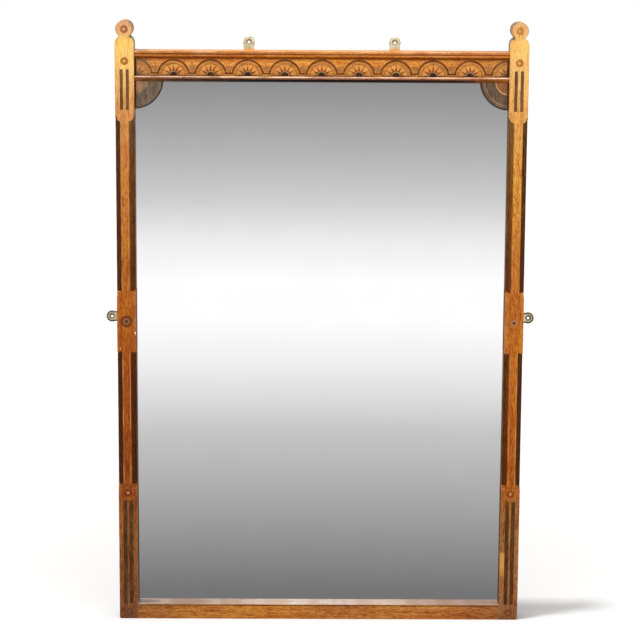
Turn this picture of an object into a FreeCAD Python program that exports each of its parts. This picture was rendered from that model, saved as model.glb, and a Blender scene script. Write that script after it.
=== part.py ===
import FreeCAD, Part
import math
import os

# Wall mirror in oak with dark inlay. Two posts with disc finials carry a
# moulded top rail with a frieze of fans, two quadrant brackets and a plain
# bottom rail. The glass lies in a rebate behind them, under five back boards.
# Millimetres, +Z up. Origin: middle of the wall plane. The front faces -Y.

os.makedirs("parts", exist_ok=True)

# The frame as a whole
frame_width = 830.0
frame_height = 1242.0
frame_depth = 46.0
cut_overrun = 2.0

# Posts, seen from the front
post_width = 38.5
finial_radius = 17.3
finial_join_angle = 46.0
neck_half_width = 11.0
neck_drop = 16.0
shoulder_drop = 32.0
foot_round = 3.5
outer_chamfer = 8.5
inner_chamfer = 10.0
upper_block_reach = 202.0
upper_block_taper = 12.0
middle_block_height = 126.0
middle_block_rise = 10.0
middle_block_round = 13.0
lower_block_height = 289.0
lower_block_slope = 10.0

# Rebates for the glass and the back boards
glass_recess = 20.0
glass_thickness = 5.0
glass_rebate = 8.0
glass_clearance = 1.5
board_ledge = 7.0
board_thickness = 8.0
board_gap = 0.5
board_count = 5

# Top rail, frieze and mouldings
cornice_drop = 60.0
cornice_height = 16.0
cornice_round = 2.0
cornice_fillet = 4.8
cornice_groove_depth = 2.6
cornice_groove_height = 2.2
cornice_bead_radius = 2.4
cornice_cove_step = 2.4
cornice_cove_reach = 6.4
frieze_setback = 14.0
frieze_margin = 1.0
end_strip_width = 4.0
bead_height = 6.4
bead_setback = 1.5
slip_height = 5.6
slip_setback = 7.5
slip_cove = 3.0

# Bottom rail
bottom_rail_height = 31.5
sill_bead_radius = 1.3
sill_quirk = 1.0

# Tenons and their pegs
tenon_length = 25.0
tenon_back = 14.0
mortise_clearance = 0.5
top_tenon_thickness = 12.0
top_tenon_height = 32.0
top_tenon_drop = 9.0
bottom_tenon_thickness = 16.0
bottom_tenon_height = 14.0
bottom_tenon_rise = 5.0
peg_radius = 3.0
peg_length = 34.0
peg_inset = 15.0
top_peg_spacing = 16.0
fastener_clearance = 0.1

# Inlay in the posts
inlay_depth = 1.6
inlay_proud = 0.3
bar_spacing = 12.2
upper_bar_width = 5.4
upper_bar_length = 81.0
lower_bar_width = 7.7
lower_bar_length = 221.0
ring_radius = 8.0
ring_eye_radius = 2.9
middle_ring_radius = 12.2
middle_band_radius = 7.0
middle_dot_radius = 2.9
upper_ring_drop = 81.0
lower_ring_drop = 18.5
ring_to_bars = 8.5
foot_ring_rise = 14.8

# Fans of the frieze
fan_radius = 33.0
fan_spacing = 8.0
fan_line = 3.0
fan_band = 5.4
fan_inner_line = 1.6
fan_rim_radius = 10.6
fan_hub_radius = 8.0
petal_count = 6
petal_gap = 1.4
petal_inset = 0.9
petal_round = 3.4
tie_foot = 3.0
tie_height = 3.0
spray_gap = 0.8
spray_angle = 16.0
spray_start = 7.0
spray_length = 13.0
spray_round = 2.2
spray_dot_radius = 1.5
spray_dot_gap = 2.5

# Quadrant brackets
bracket_radius = 58.0
bracket_rise = 3.0
bracket_thickness = 10.0
bracket_gap = 1.0
bracket_line = 3.0
bracket_border = 5.0
bracket_tan_line = 1.8
bracket_petal_root_share = 0.632
bracket_ring_width = 2.5
bracket_petal_count = 4
bracket_petal_gap = 3.2
bracket_petal_inset = 1.5
bracket_petal_round = 5.0

# Brass hanging plates
plate_thickness = 3.2
plate_eye_radius = 11.6
plate_bore_radius = 3.6
plate_sink_radius = 6.0
plate_sink_depth = 2.0
plate_base_width = 42.0
plate_base_depth = 19.0
plate_base_round = 3.0
plate_base_inset = 3.0
top_plate_rise = 15.0
top_plate_spacing = 294.0
side_plate_reach = 13.3
side_plate_rise = 13.0

# Wood screws
screw_radius = 1.7
screw_head_radius = 3.4
screw_head_depth = 1.8
screw_slot_width = 0.9
screw_slot_depth = 0.7
plate_screw_spacing = 26.0
plate_screw_length = 18.0
board_screw_length = 14.0
board_screw_inset = 30.0
side_screw_count = 5
side_screw_end = 90.0

# Glazing blocks behind the glass
block_length = 60.0
block_width = 7.0
block_end_gap = 40.0
side_block_count = 5
rail_block_count = 4

# Where a quarter round is cut at its middle, as a share of its radius
quarter_share = math.sqrt(0.5)

# Planes and levels that follow from the sizes above
front = -frame_depth
top = frame_height / 2
foot = -frame_height / 2
half_width = frame_width / 2
post_middle = half_width - post_width / 2
sight_edge = half_width - post_width
glass_front = front + glass_recess
glass_back = glass_front + glass_thickness
glass_wall = sight_edge + glass_rebate
board_wall = glass_wall + board_ledge
frieze_face = front + frieze_setback
cornice_top = top - cornice_drop
frieze_top = cornice_top - cornice_height
frieze_bottom = frieze_top - fan_radius - frieze_margin
bead_bottom = frieze_bottom - bead_height
sight_top = bead_bottom - slip_height
sight_bottom = foot + bottom_rail_height
glass_wall_top = sight_top + glass_rebate
glass_wall_bottom = sight_bottom - glass_rebate
board_wall_top = glass_wall_top + board_ledge
board_wall_bottom = glass_wall_bottom - board_ledge
disc_level = top - finial_radius
neck_level = disc_level - neck_drop
shoulder_level = disc_level - shoulder_drop
upper_block_end = top - upper_block_reach
middle_block_top = middle_block_rise + middle_block_height / 2
middle_block_bottom = middle_block_rise - middle_block_height / 2
lower_block_top = foot + lower_block_height
upper_ring_level = top - upper_ring_drop
lower_ring_level = lower_block_top - lower_ring_drop
foot_ring_level = foot + foot_ring_rise
inlay_back = front + inlay_depth
top_tenon_top = cornice_top - top_tenon_drop
top_tenon_bottom = top_tenon_top - top_tenon_height
bottom_tenon_bottom = foot + bottom_tenon_rise
bottom_tenon_top = bottom_tenon_bottom + bottom_tenon_height
frieze_edge = sight_edge - end_strip_width
fan_gap_count = int(2 * frieze_edge // (2 * fan_radius + fan_spacing))
fan_pitch = 2 * frieze_edge / fan_gap_count
bracket_back = glass_front - bracket_gap
bracket_face = bracket_back - bracket_thickness
bracket_level = sight_top + bracket_rise
bracket_petal_tip = (
    bracket_radius - bracket_line - bracket_border - bracket_tan_line - bracket_petal_inset
)
bracket_petal_root = bracket_petal_tip * bracket_petal_root_share
bracket_ring_radius = bracket_petal_root - bracket_petal_inset


def vector(x, y, z):
    return FreeCAD.Vector(x, y, z)


def box(x0, x1, y0, y1, z0, z1):
    return Part.makeBox(x1 - x0, y1 - y0, z1 - z0, vector(x0, y0, z0))


def mirrored(shape):
    """The same piece on the other side of the frame."""
    return shape.mirror(vector(0, 0, 0), vector(1, 0, 0))


def evenly(low, high, count):
    """Places from low to high, with equal steps between them."""
    return [low + (high - low) * step / (count - 1) for step in range(count)]


def closed_face(points, place):
    """A face from plane points. A pair of points is an arc's middle and end."""
    start = place(*points[0])
    last = start
    edges = []
    for item in points[1:]:
        if isinstance(item[0], tuple):
            end = place(*item[1])
            edges.append(Part.Arc(last, place(*item[0]), end).toShape())
        else:
            end = place(*item)
            edges.append(Part.LineSegment(last, end).toShape())
        last = end
    edges.append(Part.LineSegment(last, start).toShape())
    return Part.Face(Part.Wire(edges))


def front_prism(points, y0, y1):
    """An outline of (x, z) points, carried from y0 back to y1."""
    face = closed_face(points, lambda x, z: vector(x, y0, z))
    return face.extrude(vector(0, y1 - y0, 0))


def long_prism(points, x0, x1):
    """A section of (y, z) points, carried along the frame from x0 to x1."""
    face = closed_face(points, lambda y, z: vector(x0, y, z))
    return face.extrude(vector(x1 - x0, 0, 0))


def upright_prism(points, z0, z1):
    """A section of (x, y) points, carried up from z0 to z1."""
    face = closed_face(points, lambda x, y: vector(x, y, z0))
    return face.extrude(vector(0, 0, z1 - z0))


def disc(x, z, radius, y0, y1):
    """A round bar that lies from front to back."""
    return Part.makeCylinder(radius, y1 - y0, vector(x, y0, z), vector(0, 1, 0))


def sector(x, z, radius, low, high, y0, y1):
    """A slice of a disc between two angles, in degrees from +X towards +Z."""
    middle = (low + high) / 2
    points = [(x, z), polar(x, z, radius, low)]
    points.append((polar(x, z, radius, middle), polar(x, z, radius, high)))
    return front_prism(points, y0, y1)


def ring_sector(x, z, outer, inner, low, high, y0, y1):
    whole = sector(x, z, outer, low, high, y0, y1)
    return whole.cut(disc(x, z, inner, y0 - cut_overrun, y1 + cut_overrun))


def polar(x, z, radius, degrees):
    angle = math.radians(degrees)
    return (x + radius * math.cos(angle), z + radius * math.sin(angle))


def petal(x, z, root, tip, end_round, degrees, half_angle, gap, y0, y1):
    """A leaf on a ray, as wide as its angle allows less a gap, with a round end."""
    angle = math.radians(degrees)
    slope = math.tan(math.radians(half_angle))

    def at(along, across):
        return (
            x + along * math.cos(angle) - across * math.sin(angle),
            z + along * math.sin(angle) + across * math.cos(angle),
        )

    root_half = root * slope - gap / 2
    shoulder = tip - end_round
    shoulder_half = shoulder * slope - gap / 2
    points = [
        at(root, -root_half),
        at(shoulder, -shoulder_half),
        (at(tip, 0), at(shoulder, shoulder_half)),
        at(root, root_half),
    ]
    return front_prism(points, y0, y1)


def save(name, pieces):
    solids = [solid for piece in pieces for solid in piece.Solids]
    shape = solids[0] if len(solids) == 1 else Part.makeCompound(solids)
    shape.exportStep("parts/" + name + ".step")
    sound = all(solid.isValid() for solid in solids)
    print(name, len(solids), round(sum(solid.Volume for solid in solids)), sound)


# Posts: one length of oak each, from the foot to the disc of the finial


def post_outline():
    """The left post from the front, with its shoulders, neck and disc."""
    outer = -half_width
    inner = -sight_edge
    middle = -post_middle
    bulge = 1 - quarter_share
    shoulder_step = post_width / 2 - neck_half_width
    shoulder_rise = neck_level - shoulder_level
    curve_level = shoulder_level + shoulder_rise * quarter_share
    join_low = polar(middle, disc_level, finial_radius, 180 + finial_join_angle)
    join_high = polar(middle, disc_level, finial_radius, -finial_join_angle)
    return [
        (outer + foot_round, foot),
        ((outer + foot_round * bulge, foot + foot_round * bulge), (outer, foot + foot_round)),
        (outer, shoulder_level),
        ((outer + shoulder_step * bulge, curve_level), (middle - neck_half_width, neck_level)),
        join_low,
        ((middle, top), join_high),
        (middle + neck_half_width, neck_level),
        ((inner - shoulder_step * bulge, curve_level), (inner, shoulder_level)),
        (inner, foot),
    ]


def chamfer_cut(edge, inward, size, low, high, low_round, high_round):
    """The wedge that a stopped chamfer takes off one arris of a post.

    A round end leaves a convex corner on the block that it runs up to.
    """
    outside = edge - inward * cut_overrun
    inside = edge + inward * (size + cut_overrun)
    limit = edge + inward * size
    curve = edge + inward * size * (1 - quarter_share)
    points = [(outside, low - low_round)]
    if low_round:
        points.append((edge, low - low_round))
        points.append(((curve, low - low_round * (1 - quarter_share)), (limit, low)))
    points.append((inside, low))
    points.append((inside, high))
    if high_round:
        points.append((limit, high))
        points.append(((curve, high + high_round * (1 - quarter_share)), (edge, high + high_round)))
    points.append((outside, high + high_round))
    reach = size + cut_overrun
    region = front_prism(points, front - cut_overrun, front + reach)
    triangle = [
        (outside, front - cut_overrun),
        (edge + inward * reach, front - cut_overrun),
        (outside, front + reach),
    ]
    wedge = upright_prism(triangle, low - low_round, high + high_round)
    return wedge.common(region)


def block_slope(edge, inward, size):
    """The sloped end that the lower block keeps under a chamfer."""
    reach = size + cut_overrun
    rise = lower_block_slope / size
    start = lower_block_top - lower_block_slope
    section = [
        (front - cut_overrun, start - cut_overrun * rise),
        (front + reach, start + reach * rise),
        (front + reach, start - lower_block_slope),
        (front - cut_overrun, start - lower_block_slope),
    ]
    ends = sorted([edge - inward * cut_overrun, edge + inward * reach])
    return long_prism(section, ends[0], ends[1])


def post_chamfers():
    """Four stopped chamfers: above and below the middle block, out and in."""
    start = lower_block_top - lower_block_slope
    cuts = []
    arrises = [
        (-half_width, 1, outer_chamfer, middle_block_round),
        (-sight_edge, -1, inner_chamfer, 0),
    ]
    for edge, inward, size, low_round in arrises:
        cuts.append(
            chamfer_cut(
                edge, inward, size, middle_block_top, upper_block_end, low_round, upper_block_taper
            )
        )
        lower = chamfer_cut(edge, inward, size, start, middle_block_bottom, 0, 0)
        cuts.append(lower.cut(block_slope(edge, inward, size)))
    return cuts


def post_rebates():
    """The two steps at the back: one holds the glass, one the boards."""
    inner = -sight_edge + cut_overrun
    glass_step = box(-glass_wall, inner, glass_front, cut_overrun, glass_wall_bottom, glass_wall_top)
    board_step = box(
        -board_wall, inner, -board_thickness, cut_overrun, board_wall_bottom, board_wall_top
    )
    return [glass_step, board_step]


def post_mortises():
    end = -sight_edge - tenon_length - mortise_clearance
    inner = -sight_edge + cut_overrun
    top_front = -tenon_back - top_tenon_thickness
    bottom_front = -tenon_back - bottom_tenon_thickness
    return [
        box(end, inner, top_front, -tenon_back, top_tenon_bottom, top_tenon_top),
        box(end, inner, bottom_front, -tenon_back, bottom_tenon_bottom, bottom_tenon_top),
    ]


def peg_places():
    """Pegs on the left: two through the top tenon, one through the bottom one."""
    x = -sight_edge - peg_inset
    upper = (top_tenon_bottom + top_tenon_top) / 2
    lower = (bottom_tenon_bottom + bottom_tenon_top) / 2
    return [(x, upper + top_peg_spacing / 2), (x, upper - top_peg_spacing / 2), (x, lower)]


def peg_holes():
    radius = peg_radius + fastener_clearance
    return [disc(x, z, radius, -peg_length, cut_overrun) for x, z in peg_places()]


def small_ring_places():
    """The four small rings of the left post, from the finial to the foot."""
    levels = [disc_level, upper_ring_level, lower_ring_level, foot_ring_level]
    return [(-post_middle, level) for level in levels]


def bars(width, length, high, y0, y1):
    """A pair of upright bars, side by side on the left post."""
    pair = []
    for side in (-1, 1):
        x = -post_middle + side * bar_spacing / 2
        pair.append(box(x - width / 2, x + width / 2, y0, y1, high - length, high))
    return pair


def upper_bars(y0, y1):
    high = upper_ring_level - ring_radius - ring_to_bars
    return bars(upper_bar_width, upper_bar_length, high, y0, y1)


def lower_bars(y0, y1):
    high = lower_ring_level - ring_radius - ring_to_bars
    return bars(lower_bar_width, lower_bar_length, high, y0, y1)


def post_pockets():
    """The sinkings for all inlay in the face of the left post."""
    start = front - cut_overrun
    rings = [disc(x, z, ring_radius, start, inlay_back) for x, z in small_ring_places()]
    middle = disc(-post_middle, middle_block_rise, middle_ring_radius, start, inlay_back)
    return rings + [middle] + upper_bars(start, inlay_back) + lower_bars(start, inlay_back)


def left_post():
    body = front_prism(post_outline(), front, 0)
    cuts = post_chamfers() + post_rebates() + post_mortises() + peg_holes()
    cuts = cuts + post_pockets() + [side_plate_blank(cut_overrun)]
    cuts = cuts + [screw_hole(*place) for place in left_post_screws()]
    return body.cut(cuts)


# Inlay of the posts: dark rings and bars, and pale eyes in the rings


def inlay_start():
    return front - inlay_proud


def ring_inlays():
    start = inlay_start()
    pieces = []
    for x, z in small_ring_places():
        ring = disc(x, z, ring_radius, start, inlay_back)
        pieces.append(ring.cut(disc(x, z, ring_eye_radius, start - cut_overrun, cut_overrun)))
    middle = disc(-post_middle, middle_block_rise, middle_ring_radius, start, inlay_back)
    hole = disc(-post_middle, middle_block_rise, middle_band_radius, start - cut_overrun, cut_overrun)
    pieces.append(middle.cut(hole))
    return pieces


def ring_eyes():
    return [disc(x, z, ring_eye_radius, inlay_start(), inlay_back) for x, z in small_ring_places()]


def middle_band():
    start = inlay_start()
    band = disc(-post_middle, middle_block_rise, middle_band_radius, start, inlay_back)
    hole = disc(-post_middle, middle_block_rise, middle_dot_radius, start - cut_overrun, cut_overrun)
    return band.cut(hole)


def middle_dot():
    return disc(-post_middle, middle_block_rise, middle_dot_radius, inlay_start(), inlay_back)


# Fastenings: slotted wood screws from the back, oak pegs in the tenons


def screw_blank(x, z, length, spread):
    """A countersunk screw without its slot, driven in from the wall plane."""
    shank = disc(x, z, screw_radius + spread, -length, 0)
    head = Part.makeCone(
        screw_radius + spread,
        screw_head_radius + spread,
        screw_head_depth,
        vector(x, -screw_head_depth, z),
        vector(0, 1, 0),
    )
    return shank.fuse(head)


def screw_hole(x, z, length):
    return screw_blank(x, z, length, fastener_clearance)


def screw(x, z, length):
    half_slot = screw_slot_width / 2
    reach = screw_head_radius + cut_overrun
    slot = box(
        x - reach, x + reach, -screw_slot_depth, cut_overrun, z - half_slot, z + half_slot
    )
    return screw_blank(x, z, length, 0).cut(slot)


def top_plate_screws():
    """The two screws of the left top plate."""
    level = cornice_top - plate_base_inset - plate_base_depth / 2
    half = plate_screw_spacing / 2
    return [(-top_plate_spacing / 2 + side * half, level) for side in (-1, 1)]


def side_plate_screws():
    """The two screws of the left side plate."""
    column = -half_width + plate_base_inset + plate_base_depth / 2
    half = plate_screw_spacing / 2
    return [(column, side_plate_rise + side * half) for side in (-1, 1)]


def side_screw_places():
    """The board screws along the left post."""
    x = -glass_wall - board_ledge / 2
    levels = evenly(sight_bottom + side_screw_end, sight_top - side_screw_end, side_screw_count)
    return [(x, z) for z in levels]


def rail_screw_places(level):
    """The board screws along one rail, two to a board."""
    places = []
    for low, high in board_edges():
        places.append((low + board_screw_inset, level))
        places.append((high - board_screw_inset, level))
    return places


def left_post_screws():
    places = [(x, z, plate_screw_length) for x, z in side_plate_screws()]
    return places + [(x, z, board_screw_length) for x, z in side_screw_places()]


def top_screw_level():
    return glass_wall_top + board_ledge / 2


def bottom_screw_level():
    return glass_wall_bottom - board_ledge / 2


def board_screw_places():
    places = rail_screw_places(top_screw_level()) + rail_screw_places(bottom_screw_level())
    for x, z in side_screw_places():
        places = places + [(x, z), (-x, z)]
    return places


def plate_screws():
    places = top_plate_screws() + side_plate_screws()
    left = [screw(x, z, plate_screw_length) for x, z in places]
    return left + [mirrored(piece) for piece in left]


def joint_pegs():
    left = [disc(x, z, peg_radius, -peg_length, 0) for x, z in peg_places()]
    return left + [mirrored(piece) for piece in left]


# Brass hanging plates, let into the back of the top rail and the posts


def plate_outline(reach, place):
    """A round eye on a strap with a wide base, placed by a function.

    The outline is in steps across and along, from the eye into the frame.
    """
    eye = plate_eye_radius
    half = plate_base_width / 2
    turn = plate_base_round
    bulge = turn * (1 - quarter_share)
    start = reach + plate_base_inset
    end = start + plate_base_depth
    return [
        place(-eye, 0),
        (place(0, -eye), place(eye, 0)),
        place(eye, start),
        place(half - turn, start),
        (place(half - bulge, start + bulge), place(half, start + turn)),
        place(half, end - turn),
        (place(half - bulge, end - bulge), place(half - turn, end)),
        place(turn - half, end),
        (place(bulge - half, end - bulge), place(-half, end - turn)),
        place(-half, start + turn),
        (place(bulge - half, start + bulge), place(turn - half, start)),
        place(-eye, start),
    ]


def top_eye():
    return (-top_plate_spacing / 2, cornice_top + top_plate_rise)


def side_eye():
    return (-half_width - side_plate_reach, side_plate_rise)


def top_plate_blank(back):
    x, z = top_eye()
    points = plate_outline(top_plate_rise, lambda across, along: (x + across, z - along))
    return front_prism(points, -plate_thickness, back)


def side_plate_blank(back):
    x, z = side_eye()
    points = plate_outline(side_plate_reach, lambda across, along: (x + along, z + across))
    return front_prism(points, -plate_thickness, back)


def plate(blank, eye, screw_places):
    """A plate with its countersunk eye, for a screw driven from the front."""
    x, z = eye
    bore = disc(x, z, plate_bore_radius, -plate_thickness - cut_overrun, cut_overrun)
    sink = Part.makeCone(
        plate_sink_radius,
        plate_bore_radius,
        plate_sink_depth,
        vector(x, -plate_thickness, z),
        vector(0, 1, 0),
    )
    holes = [screw_hole(place[0], place[1], plate_screw_length) for place in screw_places]
    return blank.cut([bore, sink] + holes)


# Top rail: the board behind the frieze, tenoned into both posts


def rail_tenon(thickness, low, high):
    """A tenon at the left end of a rail, with its peg holes."""
    block = box(
        -sight_edge - tenon_length, -sight_edge, -tenon_back - thickness, -tenon_back, low, high
    )
    return block.cut(peg_holes())


def fan_places():
    """Each fan of the frieze: its middle, and the angles that it covers."""
    places = [(-frieze_edge, 0, 90)]
    for step in range(1, fan_gap_count):
        places.append((-frieze_edge + step * fan_pitch, 0, 180))
    places.append((frieze_edge, 90, 180))
    return places


def tie_places():
    return [-frieze_edge + (step + 0.5) * fan_pitch for step in range(fan_gap_count)]


def arch_angles(low, high):
    """The angles of an arch's dark line, which stops at the foot of the ties."""
    start = math.degrees(math.asin(tie_foot / fan_radius))
    return (low + start if low == 0 else low, high - start if high == 180 else high)


def arch_line(x, low, high, y0, y1):
    first, last = arch_angles(low, high)
    inner = fan_radius - fan_line
    return ring_sector(x, frieze_bottom, fan_radius, inner, first, last, y0, y1)


def tie(x, y0, y1):
    """The short dark bar between the feet of two arches."""
    half = fan_pitch / 2 - fan_radius + cut_overrun
    low = frieze_bottom + tie_foot
    bar = box(x - half, x + half, y0, y1, low, low + tie_height)
    arches = [
        disc(x + side * fan_pitch / 2, frieze_bottom, fan_radius, y0 - cut_overrun, y1 + cut_overrun)
        for side in (-1, 1)
    ]
    return bar.cut(arches)


def spray(x, y0, y1):
    """Three small leaves that stand on a tie, between two arches."""
    return [
        petal(
            x,
            frieze_bottom,
            spray_start,
            spray_start + spray_length,
            spray_round,
            90 + side * spray_angle,
            spray_angle / 2,
            spray_gap,
            y0,
            y1,
        )
        for side in (-1, 0, 1)
    ]


def spray_dot(x, y0, y1):
    level = frieze_bottom + spray_start + spray_length + spray_dot_gap + spray_dot_radius
    return disc(x, level, spray_dot_radius, y0, y1)


def end_strip(y0, y1):
    """The dark strip between the frieze and the left post."""
    return box(-sight_edge, -frieze_edge, y0, y1, frieze_bottom, frieze_top)


def frieze_pockets():
    start = frieze_face - cut_overrun
    back = frieze_face + inlay_depth
    cuts = []
    for x, low, high in fan_places():
        cuts.append(sector(x, frieze_bottom, fan_radius - fan_line, low, high, start, back))
        cuts.append(arch_line(x, low, high, start, back))
    for x in tie_places():
        cuts = cuts + [tie(x, start, back), spray_dot(x, start, back)] + spray(x, start, back)
    strip = end_strip(start, back)
    return cuts + [strip, mirrored(strip)]


def top_rail():
    section = [
        (frieze_face, sight_top),
        (frieze_face, cornice_top),
        (0, cornice_top),
        (0, board_wall_top),
        (-board_thickness, board_wall_top),
        (-board_thickness, glass_wall_top),
        (glass_front, glass_wall_top),
        (glass_front, sight_top),
    ]
    tenon = rail_tenon(top_tenon_thickness, top_tenon_bottom, top_tenon_top)
    body = long_prism(section, -sight_edge, sight_edge).fuse([tenon, mirrored(tenon)])
    left = [screw_hole(x, z, plate_screw_length) for x, z in top_plate_screws()]
    left.append(top_plate_blank(cut_overrun))
    cuts = left + [mirrored(cut) for cut in left]
    for x, z in rail_screw_places(top_screw_level()):
        cuts.append(screw_hole(x, z, board_screw_length))
    return body.cut(cuts).cut(frieze_pockets())


# Inlay of the frieze: arches, bands, petals and hubs, ties and sprays


def frieze_layer(make):
    """One kind of inlay, made for every fan of the frieze."""
    pieces = []
    for x, low, high in fan_places():
        pieces = pieces + make(x, low, high, frieze_face - inlay_proud, frieze_face + inlay_depth)
    return pieces


def fan_ring(x, low, high, outer, inner, y0, y1):
    return ring_sector(x, frieze_bottom, outer, inner, low, high, y0, y1)


def band_outer():
    return fan_radius - fan_line


def band_inner():
    return band_outer() - fan_band


def ground_radius():
    return band_inner() - fan_inner_line


def arch_lines(x, low, high, y0, y1):
    inner = fan_ring(x, low, high, band_inner(), ground_radius(), y0, y1)
    return [arch_line(x, low, high, y0, y1), inner]


def arch_bands(x, low, high, y0, y1):
    return [fan_ring(x, low, high, band_outer(), band_inner(), y0, y1)]


def fan_petals(x, low, high, y0, y1):
    """The pale petals of one fan, or the half of them that an end fan shows."""
    half_angle = 90 / petal_count
    pieces = []
    for step in range(petal_count):
        degrees = (2 * step + 1) * half_angle
        if low < degrees < high:
            pieces.append(
                petal(
                    x,
                    frieze_bottom,
                    fan_rim_radius + petal_inset,
                    ground_radius() - petal_inset,
                    petal_round,
                    degrees,
                    half_angle,
                    petal_gap,
                    y0,
                    y1,
                )
            )
    return pieces


def fan_grounds(x, low, high, y0, y1):
    ground = fan_ring(x, low, high, ground_radius(), fan_rim_radius, y0, y1)
    return [ground.cut(fan_petals(x, low, high, y0 - cut_overrun, y1 + cut_overrun))]


def hub_rims(x, low, high, y0, y1):
    return [fan_ring(x, low, high, fan_rim_radius, fan_hub_radius, y0, y1)]


def hubs(x, low, high, y0, y1):
    return [sector(x, frieze_bottom, fan_hub_radius, low, high, y0, y1)]


# Mouldings that are glued to the face of the top rail


def cornice():
    """A rounded fillet, a groove, a bead and a cove, from the top down."""
    bulge = cornice_round * (1 - quarter_share)
    groove = front + cornice_groove_depth
    groove_top = cornice_top - cornice_fillet
    bead_top = groove_top - cornice_groove_height
    bead_foot = bead_top - 2 * cornice_bead_radius
    cove_front = groove + cornice_cove_step
    cove_back = cove_front + cornice_cove_reach
    cove_height = bead_foot - frieze_top
    section = [
        (frieze_face, cornice_top),
        (front + cornice_round, cornice_top),
        ((front + bulge, cornice_top - bulge), (front, cornice_top - cornice_round)),
        (front, groove_top),
        (groove, groove_top),
        (groove, bead_top),
        ((groove - cornice_bead_radius, bead_top - cornice_bead_radius), (groove, bead_foot)),
        (cove_front, bead_foot),
        (
            (
                cove_front + cornice_cove_reach * quarter_share,
                frieze_top + cove_height * quarter_share,
            ),
            (cove_back, frieze_top),
        ),
        (frieze_face, frieze_top),
    ]
    return long_prism(section, -sight_edge, sight_edge)


def frieze_bead():
    """The round nosing under the frieze."""
    radius = bead_height / 2
    nose = front + bead_setback
    section = [
        (frieze_face, frieze_bottom),
        (nose + radius, frieze_bottom),
        ((nose, frieze_bottom - radius), (nose + radius, bead_bottom)),
        (frieze_face, bead_bottom),
    ]
    return long_prism(section, -sight_edge, sight_edge)


def sight_slip():
    """The dark coved slip between the nosing and the glass."""
    face = front + slip_setback
    section = [
        (frieze_face, bead_bottom),
        (face, bead_bottom),
        (
            (face + slip_cove * quarter_share, sight_top + slip_height * quarter_share),
            (face + slip_cove, sight_top),
        ),
        (frieze_face, sight_top),
    ]
    return long_prism(section, -sight_edge, sight_edge)


# Bottom rail: a beaded front arris, and the same two steps at the back


def bottom_rail():
    bead_foot = sight_bottom - 2 * sill_bead_radius
    section = [
        (front, foot),
        (front, bead_foot - sill_quirk),
        (front + sill_quirk, bead_foot),
        ((front, sight_bottom - sill_bead_radius), (front + sill_bead_radius, sight_bottom)),
        (glass_front, sight_bottom),
        (glass_front, glass_wall_bottom),
        (-board_thickness, glass_wall_bottom),
        (-board_thickness, board_wall_bottom),
        (0, board_wall_bottom),
        (0, foot),
    ]
    tenon = rail_tenon(bottom_tenon_thickness, bottom_tenon_bottom, bottom_tenon_top)
    body = long_prism(section, -sight_edge, sight_edge).fuse([tenon, mirrored(tenon)])
    places = rail_screw_places(bottom_screw_level())
    return body.cut([screw_hole(x, z, board_screw_length) for x, z in places])


# Quadrant brackets in the upper corners, in front of the glass


def bracket_piece(outer, inner, y0, y1):
    """A ring of the left quadrant, cut off at its strip and at the slip."""
    ring = sector(-sight_edge, bracket_level, outer, -90, 0, y0, y1)
    if inner:
        ring = ring.cut(disc(-sight_edge, bracket_level, inner, y0 - cut_overrun, y1 + cut_overrun))
    limit = box(
        -frieze_edge,
        -sight_edge + outer + cut_overrun,
        y0 - cut_overrun,
        y1 + cut_overrun,
        bracket_level - outer - cut_overrun,
        sight_top,
    )
    return ring.common(limit)


def bracket_strip(y0, y1):
    """The dark strip where the left bracket meets its post."""
    low = bracket_level - bracket_radius - cut_overrun
    strip = box(-sight_edge, -frieze_edge, y0, y1, low, sight_top)
    return strip.common(sector(-sight_edge, bracket_level, bracket_radius, -90, 0, y0, y1))


def bracket_layers():
    """Outer and inner radius of each ring of inlay, from the edge inwards."""
    tan_outer = bracket_radius - bracket_line - bracket_border
    return {
        "edge_lines": (bracket_radius, bracket_radius - bracket_line),
        "tan_lines": (tan_outer, tan_outer - bracket_tan_line),
        "rings": (bracket_ring_radius, bracket_ring_radius - bracket_ring_width),
        "hearts": (bracket_ring_radius - bracket_ring_width, 0),
    }


def bracket_petals(y0, y1):
    """Broad petals between the pale ring and the tan line."""
    half_angle = 45 / bracket_petal_count
    pieces = []
    for step in range(bracket_petal_count):
        degrees = -90 + (2 * step + 1) * half_angle
        leaf = petal(
            -sight_edge,
            bracket_level,
            bracket_petal_root,
            bracket_petal_tip,
            bracket_petal_round,
            degrees,
            half_angle,
            bracket_petal_gap,
            y0,
            y1,
        )
        pieces.append(leaf.common(bracket_piece(bracket_petal_tip, 0, y0, y1)))
    return pieces


def left_bracket():
    board = sector(-sight_edge, bracket_level, bracket_radius, -90, 0, bracket_face, bracket_back)
    above = box(
        -sight_edge - cut_overrun,
        -sight_edge + bracket_radius + cut_overrun,
        bracket_face - cut_overrun,
        bracket_back + cut_overrun,
        sight_top,
        bracket_level + cut_overrun,
    )
    start = bracket_face - cut_overrun
    back = bracket_face + inlay_depth
    cuts = [above, bracket_strip(start, back)] + bracket_petals(start, back)
    for outer, inner in bracket_layers().values():
        cuts.append(bracket_piece(outer, inner, start, back))
    return board.cut(cuts)


# Glass, glazing blocks and back boards


def mirror_glass():
    return box(
        -glass_wall + glass_clearance,
        glass_wall - glass_clearance,
        glass_front,
        glass_back,
        glass_wall_bottom + glass_clearance,
        glass_wall_top - glass_clearance,
    )


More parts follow.
